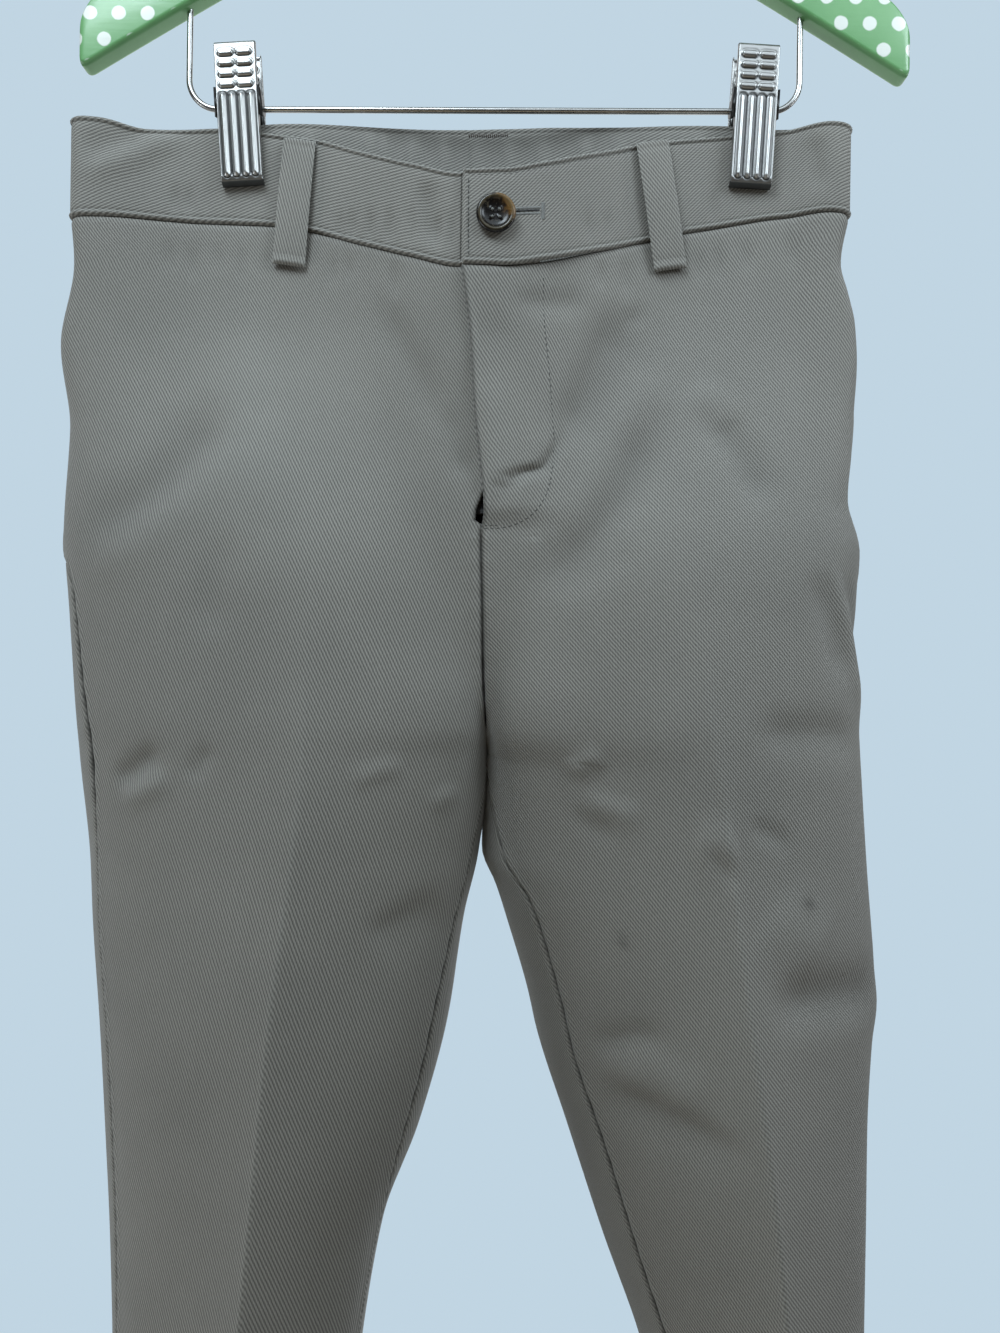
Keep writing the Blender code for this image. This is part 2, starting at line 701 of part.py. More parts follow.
def rod_cutter(name, x, low, high, radius):
    """Upright cutter."""
    bpy.ops.mesh.primitive_cylinder_add(vertices=12, radius=radius * MM, depth=(high - low) * MM,
                                        location=(x * MM, 0, (low + high) / 2 * MM))
    made = bpy.context.object
    made.name = name
    return made


def arm_lower(x):
    """Drop of the hanger's lower edge: straight arms that round over at the hub."""
    bend = math.sqrt(WOOD_HALF ** 2 + ARM_BEND ** 2) - np.sqrt(x * x + ARM_BEND ** 2)
    return ARM_TIP_DROP - ARM_SLOPE * bend


def arm_upper(x):
    """Drop of the hanger's upper edge, a little fuller at the hub."""
    return arm_lower(x) - ARM_HEIGHT - HUB_EXTRA * np.exp(-(x / HUB_WIDTH) ** 2)


def corner_round(distance, radius):
    """Height lost to a round corner at a distance from its tip."""
    left = np.clip(radius - distance, 0, radius)
    return radius - np.sqrt(radius ** 2 - left ** 2)


def add_wood():
    """Flat wooden hanger: upright slices with rounded edges, from tip to tip."""
    near_tip = WOOD_HALF - np.array([0.25, 1.0, 2.5, 5.0, 8.0, 11.0])
    half = np.concatenate((near_tip, np.linspace(WOOD_HALF - 24, 12, 9)))
    xs = np.concatenate((-half, [0.0], half[::-1]))
    depth = WOOD_THICK / 2
    points = []
    for x in xs:
        tip = WOOD_HALF - abs(x)
        low = BAR_Z - arm_lower(x) + corner_round(tip, TIP_LOWER_ROUND)
        high = BAR_Z - arm_upper(x) - corner_round(tip, TIP_UPPER_ROUND)
        thin = depth - 0.6 * corner_round(tip, WOOD_EDGE)
        for y, z in ((-thin, WOOD_EDGE), (-thin + 0.65, 0.65), (-thin + WOOD_EDGE, 0),
                     (thin - WOOD_EDGE, 0), (thin - 0.65, 0.65), (thin, WOOD_EDGE)):
            points.append((x, y, low + z))
        for y, z in ((thin, WOOD_EDGE), (thin - 0.65, 0.65), (thin - WOOD_EDGE, 0),
                     (-thin + WOOD_EDGE, 0), (-thin + 0.65, 0.65), (-thin, WOOD_EDGE)):
            points.append((x, y, high - z))
    around = 12
    faces = [(s * around + k, s * around + (k + 1) % around,
              (s + 1) * around + (k + 1) % around, (s + 1) * around + k)
             for s in range(len(xs) - 1) for k in range(around)]
    faces += [tuple(range(around)), tuple(range((len(xs) - 1) * around, len(xs) * around))]
    wood = add_object("hanger_wood", points, faces, "painted_wood")
    for sign, name in ((-1, "right"), (1, "left")):
        low = BAR_Z - arm_lower(WIRE_LEG_X)
        cut(wood, rod_cutter("guide_leg_bore_" + name, sign * WIRE_LEG_X, low - 8,
                             low + WIRE_SEAT + BORE_CLEAR, WIRE_RADIUS + BORE_CLEAR))
    high = BAR_Z - arm_upper(0)
    cut(wood, rod_cutter("guide_stem_bore", 0, high - STEM_SEAT - BORE_CLEAR, high + 5,
                         HOOK_WIRE + BORE_CLEAR))
    return wood


def add_hook():
    """Hook: a stem out of the wood, a small bend and most of a circle. It bears at the origin."""
    foot = BAR_Z - arm_upper(0) - STEM_SEAT
    centre = (0.0, HOOK_WIRE - HOOK_RADIUS)
    bend = 7.0
    turn_z = centre[1] - HOOK_RADIUS - 2.0
    route = [(0.0, 0.0, foot), (0.0, 0.0, turn_z - bend)]
    route += arc((bend, turn_z - bend), bend, 180, 112, 5)
    route += arc(centre, HOOK_RADIUS, -62, 196, 22)
    route.append((route[-1][0] + 1.2, 0.0, route[-1][2] - 4.0))
    return tube("hanger_hook", route, HOOK_WIRE, "steel")


def add_bar():
    """Wire bar with two legs that run up into the wood. It is bent to rise a little to the left."""
    top = BAR_Z - arm_lower(WIRE_LEG_X) + WIRE_SEAT
    corner = WIRE_LEG_X - WIRE_CORNER
    route = [(-WIRE_LEG_X, 0.0, top)]
    route += arc((-corner, bar_z(-corner) + WIRE_CORNER), WIRE_CORNER, 180, 270, 7)
    route += arc((corner, bar_z(corner) + WIRE_CORNER), WIRE_CORNER, 270, 360, 7)
    route.append((WIRE_LEG_X, 0.0, top))
    return tube("hanger_bar", route, WIRE_RADIUS, "steel")


def bar_z(x):
    """Height of the bar's middle line."""
    return BAR_Z + BAR_RISE * x


def clip_place(side, points):
    """Turn points from the clip's own frame, on the bar, to where the clip hangs."""
    tilt = CLIP_TILT[side]
    points = np.asarray(points, dtype=float)
    x = points[..., 0] * math.cos(tilt) - points[..., 2] * math.sin(tilt)
    z = points[..., 0] * math.sin(tilt) + points[..., 2] * math.cos(tilt)
    return np.stack((x + CLIP_X[side], points[..., 1], z + bar_z(CLIP_X[side])), axis=-1)


def slab(name, outline, low, high, side, finish):
    """Plate of an outline in the YZ plane of a clip, from low to high in x."""
    points = [(x, y, z) for x in (low, high) for y, z in outline]
    count = len(outline)
    faces = [tuple(range(count)), tuple(range(2 * count - 1, count - 1, -1))]
    faces += [(k, (k + 1) % count, (k + 1) % count + count, k + count) for k in range(count)]
    return add_object(name, clip_place(side, points), faces, finish)


def add_jaw(side, face):
    """Pressed jaw: a plate with a lip turned in on the cloth, and two ears that ride on the bar."""
    sign = -1 if face == "front" else 1
    outline = list(zip(sign * JAW_OUTLINE["out"], JAW_OUTLINE["up"]))
    jaw = slab("clip_%s_%s_jaw" % (side, face), outline, -CLIP_WIDTH / 2, CLIP_WIDTH / 2, side,
               "steel")

    angles = math.pi + np.linspace(-EAR_SWEEP, EAR_SWEEP, 7)
    rim = [(sign * EAR_RADIUS * math.cos(a), EAR_RADIUS * math.sin(a)) for a in angles]
    ear_outline = rim + [(sign * EAR_ROOT_Y, -EAR_HALF), (sign * EAR_ROOT_Y, EAR_HALF)]
    for ear_side in (-1, 1):
        x = ear_side * EAR_X[face]
        ear = slab("guide_ear_%s_%s_%d" % (side, face, ear_side), ear_outline,
                   x - EAR_WALL / 2, x + EAR_WALL / 2, side, "steel")
        ear.hide_render = True
        ear.display_type = "WIRE"
        join = jaw.modifiers.new("ear", "BOOLEAN")
        join.operation = "UNION"
        join.object = ear
    bpy.ops.mesh.primitive_cylinder_add(vertices=12, radius=(WIRE_RADIUS + BORE_CLEAR) * MM,
                                        depth=30 * MM, rotation=(0, math.pi / 2, 0),
                                        location=(CLIP_X[side] * MM, 0,
                                                  bar_z(CLIP_X[side]) * MM))
    bore = bpy.context.object
    bore.name = "guide_bore_%s_%s" % (side, face)
    cut(jaw, bore)
    return jaw


def add_spring(side):
    """Torsion spring round the bar, with a leg up against each jaw."""
    angles = np.linspace(math.pi, math.pi + 2 * math.pi * (SPRING_TURNS + 0.5), SPRING_TURNS * 9)
    x = np.linspace(-SPRING_LENGTH / 2, SPRING_LENGTH / 2, len(angles))
    coil = np.stack((x, SPRING_RADIUS * np.cos(angles), -SPRING_RADIUS * np.sin(angles)), axis=-1)
    start = (x[0], -SPRING_LEG_Y, SPRING_LEG_TOP)
    end = (x[-1], SPRING_LEG_Y, SPRING_LEG_TOP)
    route = np.concatenate(([start], coil, [end]))
    return tube("clip_" + side + "_spring", clip_place(side, route), SPRING_WIRE, "steel", sides=6)


def add_button():
    """Four-hole button with a raised rim, on the left band's face over the buttonhole."""
    place = place_of("left", np.array([WAIST_ROW]), BUTTON_X)
    band_y = band_point("left", place, np.array([0.5]))[0, 1]
    waist_drop = CENTRE_LINE["drop"][0]
    lift = fly_lift(BUTTON_X, waist_drop, BAND_LIFT, BAND_UNDERLAP)
    back = band_y - lift - BAND_WALL / 2 - LAYER_GAP
    profile = ((0.0, 0.0), (BUTTON_RADIUS - 0.8, 0.0), (BUTTON_RADIUS, 0.9),
               (BUTTON_RADIUS - 0.3, BUTTON_THICK), (BUTTON_RADIUS - BUTTON_RIM, BUTTON_THICK),
               (BUTTON_RADIUS - BUTTON_RIM - 0.8, BUTTON_THICK - 0.8), (0.0, BUTTON_THICK - 0.8))
    sides = 20
    turned = [(BUTTON_X + r * math.cos(2 * math.pi * k / sides), back - up,
               BAR_Z - BUTTON_DROP + r * math.sin(2 * math.pi * k / sides))
              for r, up in profile[1:-1] for k in range(sides)]
    rings = len(profile) - 2
    faces = [(s * sides + k, s * sides + (k + 1) % sides,
              (s + 1) * sides + (k + 1) % sides, (s + 1) * sides + k)
             for s in range(rings - 1) for k in range(sides)]
    faces += [tuple(range(sides)), tuple(range((rings - 1) * sides, rings * sides))]
    button = add_object("waist_button", turned, faces, "button")
    for sx in (-1, 1):
        for sz in (-1, 1):
            bpy.ops.mesh.primitive_cylinder_add(
                vertices=8, radius=BUTTON_HOLE_RADIUS * MM, depth=12 * MM,
                rotation=(math.pi / 2, 0, 0),
                location=((BUTTON_X + sx * BUTTON_HOLE_OUT) * MM, back * MM,
                          (BAR_Z - BUTTON_DROP + sz * BUTTON_HOLE_OUT) * MM))
            hole = bpy.context.object
            hole.name = "guide_button_hole_%d_%d" % (sx, sz)
            cut(button, hole)
    return button


LEG_CENTRE_X = float(CENTRE_LINE["x"][0])


def main():
    for old in list(bpy.data.objects):
        bpy.data.objects.remove(old, do_unlink=True)
    for side in ("right", "left"):
        add_front(side)
        add_back(side)
        add_front_band(side)
        add_facing(side)
        add_spring(side)
        for face in ("front", "back"):
            add_jaw(side, face)
    add_back_band()
    for name, strap in BELT_LOOPS.items():
        add_belt_loop(name, *strap)
    add_zip()
    add_button()
    add_wood()
    add_hook()
    add_bar()


main()
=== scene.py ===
"""Looks of a child's dress trousers hung from a clip hanger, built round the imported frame.

The origin is where the hook bears on what holds it. +X is to the right seen from the front, +Y to
the back and +Z up. Right and left in names are the wearer's, so the right leg is at -X. Tables are
in millimetres, and drop is the depth below the hanger's bar. Each leg is a closed section of four
curves: inner fold, front crease, outer fold, back crease. Place q runs round it from 0 to 4 in
that order, and above the crotch its ends are the centre front and the centre back.
"""
import math

import bmesh
import bpy
import numpy as np
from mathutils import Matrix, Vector


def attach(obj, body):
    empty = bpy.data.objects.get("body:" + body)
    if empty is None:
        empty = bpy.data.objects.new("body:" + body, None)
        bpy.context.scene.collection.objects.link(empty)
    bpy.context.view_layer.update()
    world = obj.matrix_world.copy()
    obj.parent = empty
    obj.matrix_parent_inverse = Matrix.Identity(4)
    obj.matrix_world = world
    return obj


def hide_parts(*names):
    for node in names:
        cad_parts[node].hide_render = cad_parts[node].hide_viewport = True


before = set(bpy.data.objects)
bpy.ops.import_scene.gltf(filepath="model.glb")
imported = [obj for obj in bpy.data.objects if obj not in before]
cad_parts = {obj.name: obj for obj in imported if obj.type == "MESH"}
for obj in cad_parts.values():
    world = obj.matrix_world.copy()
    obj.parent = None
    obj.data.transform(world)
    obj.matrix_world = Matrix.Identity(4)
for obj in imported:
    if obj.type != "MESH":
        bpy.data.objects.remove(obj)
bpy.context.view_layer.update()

MM = 0.001
BAR_Z = -210.0
OUT = {"right": -1, "left": 1}

# Cloth
CLOTH_WALL = 1.2
BAND_WALL = 2.0
LOOP_WALL = 1.6
TAPE_WALL = 1.0
CROTCH_EASE = 0.35
LAYER_GAP = 0.5
WAIST_ROW = 40.0
CENTRE_SAG = 32.0
SAG_END = 240.0
CROTCH_DROP = 264.0
HEM_DROP = 893.0
CENTRE_CLEAR = 0.2
FOLD_CLEAR = 0.85

# Waist ring in plan
CLIP_X = {"right": -103.6, "left": 105.9}
CLIP_FLAT = 13.0
CLIP_MEAN_X = 104.5
CLIP_STILL = 14.0
RING_CENTRE = -4.0
PINCH_HALF = 1.35
FRONT_SAG = 22.0
BACK_SAG = 9.0
SIDE_BULGE = 4.0
SIDE_Y = 1.0
RING_END = 0.3
RING_BLEND_END = 200.0
RING_SIDE_REACH = 0.7

# Sections
HIP_HANDLE = 0.74
LEG_HANDLE = 0.57
HANDLE_FROM = 220.0
HANDLE_TO = 380.0
CREASE_HANDLE = 1 / 3
FOLD_CLEAR_FROM = 236.0
LEG_FROM = 303.0
TUCK_START = (256.0, 268.0)
TUCK_FINISH = (300.0, 322.0)
TUCK_OVER = 1.6
TUCK_BEHIND = 5.0

# Fly
FLY_END = 176.0
FLY_FADE = 34.0
PANEL_LAP = 8.0
PANEL_LIFT = CLOTH_WALL + LAYER_GAP + 0.5
BAND_LIFT = BAND_WALL + LAYER_GAP - 0.2
BAND_UNDERLAP = 30.0

# Pockets
FACING_REACH = 9.0
MOUTH_END = 188.0
# Painted shade: the facing inside the pocket mouth is darkened all over
FACING_SHADE = -0.15

# Belt loops
LOOP_WIDTH = 13.5
LOOP_PROUD = 1.6
LOOP_CLEAR = 0.7
LOOP_TURN = {"right": 6.0, "left": 4.0}
LOOP_SECTIONS = ((0.0, 0.06, 7), (0.06, 0.92, 44), (0.92, 1.0, 12))

# Waist button
BUTTON_X = 1.7
BUTTON_DROP = 54.6
BUTTON_HOLE_OUT = 1.4

# Hanger
WOOD_THICK = 10.0
WOOD_HALF = 168.6
ARM_SLOPE = 0.64
ARM_BEND = 45.0
ARM_TIP_DROP = -12.3
ARM_HEIGHT = 28.0
HUB_EXTRA = 6.0
HUB_WIDTH = 30.0
WIRE_RADIUS = 1.2
WIRE_LEG_X = 125.0
BAR_RISE = 0.0095
WIRE_CORNER = 12.0
WIRE_SEAT = 9.0
HOOK_WIRE = 1.8
HOOK_RADIUS = 20.0
STEM_SEAT = 12.0
STEM_BEND = 7.0

# Clips
CLIP_TILT = {"right": math.radians(4.2), "left": math.radians(-2.9)}
CLIP_WIDTH = 17.0
EAR_X = {"front": 8.9, "back": 6.7}

# Twill
WALE_PITCH = 1.16
WALE_ANGLE = {"right": 63.0, "left": 54.0}
BAND_ANGLE = {"right": -25.0, "left": -38.0}


def table(names, rows):
    """Columns of a table by name."""
    return dict(zip(names.split(), np.array(rows, dtype=float).T))


# Outline of each leg's outside face. seam_out and seam_in are how far the side seam and the
# inseam lie inside the folds, on the front. Above the crotch the inner edge is CENTRE_LINE.
OUTLINE = "drop outer crease inner seam_out seam_in"
LEGS = {
    "right": table(OUTLINE, (
        (40, -172.5, -78, 1.2, 0, 0),
        (60, -170.8, -74, 1.2, 0, 0),
        (92, -175.5, -70, 1.2, 0, 0),
        (130, -170.7, -67, 1.2, 0, 0),
        (171, -171.7, -66, 1.2, 0, 0),
        (200, -169.3, -65.5, 1.2, 7, 0),
        (235, -166.3, -66, 1.2, 9, 0),
        (264, -164.3, -66.3, 1.2, 12, 0),
        (303, -159.7, -69, -2, 9.5, 3),
        (330, -158.1, -72, -7.8, 9, 3.3),
        (370, -154.3, -76, -13.5, 9, 5.5),
        (411, -150.8, -79, -24, 9, 5.5),
        (451, -147.9, -82, -38.5, 8.5, 1),
        (507, -145.6, -87, -47.5, 7, 1),
        (600, -143, -94, -57, 6, 1),
        (740, -141, -99, -61, 5, 1),
        (893, -139, -100, -62, 4, 1),
    )),
    "left": table(OUTLINE, (
        (40, 145.9, 72, 1.2, 0, 0),
        (60, 142.6, 71, 1.2, 0, 0),
        (72, 145.8, 70.6, 1.2, 0, 0),
        (84, 148.6, 70.2, 1.2, 0, 0),
        (100, 149.5, 70, 1.2, 0, 0),
        (119, 148.4, 70, 1.2, 0, 0),
        (140, 146.8, 70, 1.2, 2, 0),
        (160, 145.7, 71, 1.2, 4, 0),
        (180, 149.6, 73, 1.2, 1.5, 0),
        (200, 148.8, 76, 1.2, 0, 0),
        (235, 149.3, 81.5, 1.2, 0, 0),
        (264, 151.5, 86, 1.2, 0, 0.5),
        (303, 154.7, 91, 0.6, 0, 9),
        (316, 155.9, 92.3, 5.0, 0, 12),
        (330, 157.2, 94, 9.6, 0, 13),
        (358, 159.7, 97.6, 18.4, 0, 12.5),
        (375, 157.6, 99.6, 22.5, 0, 12.5),
        (411, 155.6, 104.5, 34.8, 0, 13),
        (451, 155.2, 109, 48.5, 0, 12.5),
        (507, 154.5, 113.5, 68.5, 0, 10.5),
        (550, 154.3, 116, 77, 0, 9.5),
        (610, 154, 118, 81, 0, 8),
        (740, 153.5, 119, 82, 0, 6),
        (893, 152, 118, 78, 0, 4),
    )),
}

# Depth of both legs. crease is 0 where the section is round and 1 where it is a straight-sided
# diamond, and turn is 0 where the halves run on into each other and 1 where a leg folds back.
DEPTHS = table("drop centre_front front side back centre_back crease turn", (
    (40, -25, -14, 1, 9, 10, 0, 0),
    (100, -28, -26, 1, 16, 14, 0, 0),
    (150, -30, -34, 0, 23, 20, 0.1, 0.1),
    (200, -28.5, -40, 0, 29, 22.5, 0.3, 0.4),
    (235, -23.5, -44, 0, 33, 18, 0.4, 0.75),
    (252, -15, -46, 1, 35.5, 9, 0.45, 0.93),
    (264, -5, -47, 2, 37, -5, 0.5, 1),
    (303, 2, -50, 2, 41, 2, 0.6, 1),
    (370, 0, -55, 0, 46, 0, 0.7, 1),
    (450, -2, -58, -2, 49, -2, 0.75, 1),
    (600, -2, -58, -2, 50, -2, 0.75, 1),
    (893, -2, -56, -2, 48, -2, 0.8, 1),
))

# Centre front line, which is also the fly's edge down to FLY_END, and how far the right front
# laps under it. The lap draws back at the foot of the fly, where the zip shows.
CENTRE_LINE = table("drop x lap", (
    (72, -11.3, 6),
    (100, -7.6, 6),
    (127, -5.7, 6),
    (146, -3.5, 5),
    (158, -2.0, 1),
    (163, -1.4, -1.2),
    (169, -1.2, -3.4),
    (171.6, -1.5, -3.4),
    (173.6, -1.9, -0.3),
    (176, -2.3, -0.2),
    (203, -1.5, -0.2),
    (233, -0.7, -0.2),
    (256, 0.7, -0.2),
    (264, 1.2, -0.2),
))

# Upper and lower edge of the waistband, as drops, along x
WAIST = table("x front_top front_bottom back_top back_bottom", (
    (-175, 7, 47.6, 7, 47.6),
    (-160, 7.9, 47.6, 7.1, 46.2),
    (-140, 11.9, 48.1, 10.4, 46),
    (-112, 9.9, 48.6, 8.6, 45.5),
    (-88, 12, 49.2, 6.2, 44.5),
    (-72, 15, 52.7, 5.6, 44),
    (-52, 23, 60, 5, 43.5),
    (-32, 31, 67.4, 4, 42.8),
    (-12, 36.8, 73, 2.9, 42),
    (4, 36, 73.2, 2.3, 41.5),
    (20, 31.9, 70.1, 2.2, 41.5),
    (40, 24.2, 63.5, 3.2, 41.5),
    (60, 16.7, 56.5, 4.2, 41.8),
    (78, 12.2, 50.5, 4.4, 42),
    (97, 9.8, 46.6, 4.6, 42.2),
    (116, 7.9, 43.3, 5.8, 42),
    (136, 5.4, 41.7, 4.4, 41.6),
    (148, 6.5, 42.8, 6.5, 42.8),
))

# Folds of the front panels: depth inwards, half width on the near and far side of the line in
# its own direction, and the line as x and drop. A negative depth is a ridge.
FRONT_FOLDS = (
    # Wearer's left front: the fly's crease and the long folds that sweep down to its foot
    (1.3, 1.5, 3.4, ((1, 170), (4, 164), (8, 156), (13, 153), (20, 151), (25, 143), (30, 134))),
    (1.9, 8, 11, ((24, 145), (36, 126), (43, 109), (48, 96), (53, 80))),
    (2.4, 9, 12, ((69, 119), (61, 134), (52, 157), (38, 179), (25, 189), (10, 194))),
    (-1.2, 10, 10, ((65, 107), (58, 124), (49, 142), (41, 159), (31, 174), (18, 185), (5, 187))),
    (1.5, 9, 7, ((83, 121), (91, 134), (98, 145), (103, 158), (107, 168))),
    (-0.8, 8, 8, ((78, 115), (87, 122), (96, 134))),
    (0.8, 4.5, 4.5, ((7, 87), (23, 86), (39, 82))),
    (0.5, 8, 8, ((-6, 102), (10, 97))),
    (0.5, 5, 5, ((55, 84), (61, 90))),
    (1.1, 6, 6, ((124, 188), (128, 201), (133, 216), (137, 235))),
    (0.5, 6, 6, ((23, 200), (42, 191), (58, 180))),
    (-0.9, 3, 2.2, ((132, 186), (139, 212), (144, 232), (149, 254))),
    (1.0, 3, 3, ((138, 188), (145, 212), (150, 234))),
    # Edge of the fly: the lap stands off towards its foot and the side under it lies lower
    (-0.9, 9, 3, ((-3, 112), (0, 135), (2, 155), (3, 171))),
    (0.6, 5, 5, ((-12, 108), (-9, 130), (-6.5, 150), (-5, 168))),
    # Wearer's left thigh and knee
    (-0.8, 8, 8, ((76, 291), (83, 292), (93, 289))),
    (0.6, 3.5, 3, ((80, 293), (86, 298), (92, 306))),
    (0.7, 3, 3.5, ((96, 284), (106, 288), (115, 293))),
    (1.2, 7, 8, ((98, 257), (111, 251), (125, 251), (148, 256))),
    (2.3, 9, 9, ((103, 354), (121, 348), (138, 349), (160, 351))),
    (-1.0, 13, 13, ((102, 315), (114, 322), (132, 331))),
    (-0.9, 3.6, 4, ((32, 268), (38, 263), (45, 259))),
    (-0.7, 4, 5, ((37, 276), (48, 280), (60, 283))),
    (0.5, 3.5, 4, ((34, 280), (42, 287), (51, 289))),
    (1.1, 3.5, 10, ((42, 383), (58, 387), (80, 394), (100, 402))),
    (-0.8, 8, 8, ((46, 381), (64, 377), (84, 387))),
    (0.8, 4, 4, ((41, 371), (52, 366), (61, 363), (70, 364))),
    (0.7, 5, 9, ((92, 520), (112, 528), (140, 525))),
    (-0.6, 8, 8, ((96, 640), (118, 655), (146, 650))),
    # Wearer's right front, thigh and knee
    (1.5, 11, 10, ((-156, 185), (-140, 171), (-124, 158), (-113, 140), (-108, 119))),
    (-1.1, 10, 10, ((-156, 197), (-139, 185), (-120, 171), (-107, 155), (-101, 136))),
    (-0.9, 14, 14, ((-91, 93), (-96, 128), (-90, 156), (-84, 178))),
    (0.9, 6, 7, ((-47, 79), (-40, 92), (-32, 106), (-22, 124), (-14, 140))),
    (0.8, 4.5, 4.5, ((-17, 126), (-13, 141), (-8, 158))),
    (0.8, 8, 8, ((-96, 176), (-101, 196), (-104, 220))),
    (1.3, 4.5, 5.5, ((-142, 273), (-134, 270), (-127, 265), (-119, 260))),
    (-0.9, 4.5, 4.5, ((-138, 280), (-127, 276), (-116, 269))),
    (0.7, 4, 4, ((-108, 272), (-104, 264), (-99, 259))),
    (-0.5, 3.5, 3.5, ((-49, 272), (-39, 267), (-29, 265))),
    (-0.45, 3.5, 3.5, ((-21, 281), (-10, 275))),
    (0.8, 5, 12, ((-43, 331), (-29, 323), (-14, 317))),
    (0.6, 5, 9, ((-132, 560), (-112, 572), (-90, 566))),
    # Puckers under the waistband
    (0.5, 2.3, 2.4, ((-131, 55), (-131, 62), (-131, 70))),
    (0.55, 2.6, 2.4, ((-121, 56), (-122, 64), (-120, 72))),
    (0.5, 2, 2.4, ((-112, 57), (-111, 63), (-113, 69))),
    (0.5, 2.3, 2.4, ((-101, 57), (-102, 65), (-101, 72))),
    (0.4, 2.6, 2.4, ((-93, 59), (-92, 64), (-92, 69))),
    (0.5, 2, 2.4, ((-64, 62), (-64, 69), (-65, 76))),
    (0.4, 2.3, 2.4, ((-58, 63), (-57, 68), (-58, 74))),
    (0.5, 2.6, 2.4, ((-38, 68), (-38, 76), (-37, 83))),
    (0.45, 2, 2.4, ((44, 66), (44, 72), (43, 78))),
    (0.5, 2.3, 2.4, ((54, 63), (54, 71), (54, 79))),
    (0.45, 2.6, 2.4, ((84, 57), (84, 64), (85, 70))),
    (0.5, 2, 2.4, ((93, 54), (93, 62), (92, 70))),
    (0.4, 2.3, 2.4, ((103, 53), (104, 60), (103, 66))),
    (0.45, 2.6, 2.4, ((122, 50), (122, 56), (123, 63))),
)

# Folds of the back panels, of the same kinds as the front's
BACK_FOLDS = (
    (1.8, 8, 11, ((-92, 128), (-76, 158), (-52, 184), (-26, 200))),
    (-0.9, 9, 9, ((-84, 122), (-66, 150), (-44, 172), (-20, 186))),
    (1.6, 10, 8, ((78, 132), (64, 162), (42, 190), (16, 206))),
    (1.2, 7, 7, ((-30, 214), (-14, 224), (6, 226), (26, 216))),
    (-0.9, 6, 6, ((-34, 204), (-12, 214), (8, 215), (30, 206))),
    (1.4, 6, 8, ((-140, 150), (-128, 172), (-124, 200))),
    (1.3, 7, 8, ((128, 146), (118, 174), (116, 208))),
    (-0.9, 12, 12, ((-96, 92), (-92, 128), (-84, 160))),
    (1.5, 5, 8, ((-132, 350), (-108, 344), (-88, 352))),
    (1.1, 5, 7, ((-118, 398), (-92, 404), (-70, 398))),
    (1.6, 6, 9, ((148, 352), (128, 349), (106, 356))),
    (1.0, 5, 8, ((120, 396), (98, 404), (76, 398))),
    (-0.8, 6, 6, ((126, 372), (106, 378), (90, 374))),
    (0.9, 5, 7, ((-60, 270), (-40, 282), (-24, 300))),
    (0.9, 5, 7, ((54, 266), (36, 282), (22, 296))),
    (0.5, 2.3, 2.4, ((-124, 52), (-124, 60), (-123, 70))),
    (0.6, 2.6, 2.4, ((-96, 51), (-97, 60), (-96, 72))),
    (0.5, 2.2, 2.4, ((-52, 50), (-52, 58), (-53, 68))),
    (0.55, 2.6, 2.4, ((-30, 50), (-30, 60), (-29, 72))),
    (0.5, 2.3, 2.4, ((24, 50), (24, 58), (25, 68))),
    (0.6, 2.6, 2.4, ((46, 50), (46, 60), (45, 72))),
    (0.5, 2.3, 2.4, ((88, 50), (88, 58), (88, 68))),
    (0.5, 2.6, 2.4, ((110, 50), (111, 60), (110, 70))),
)

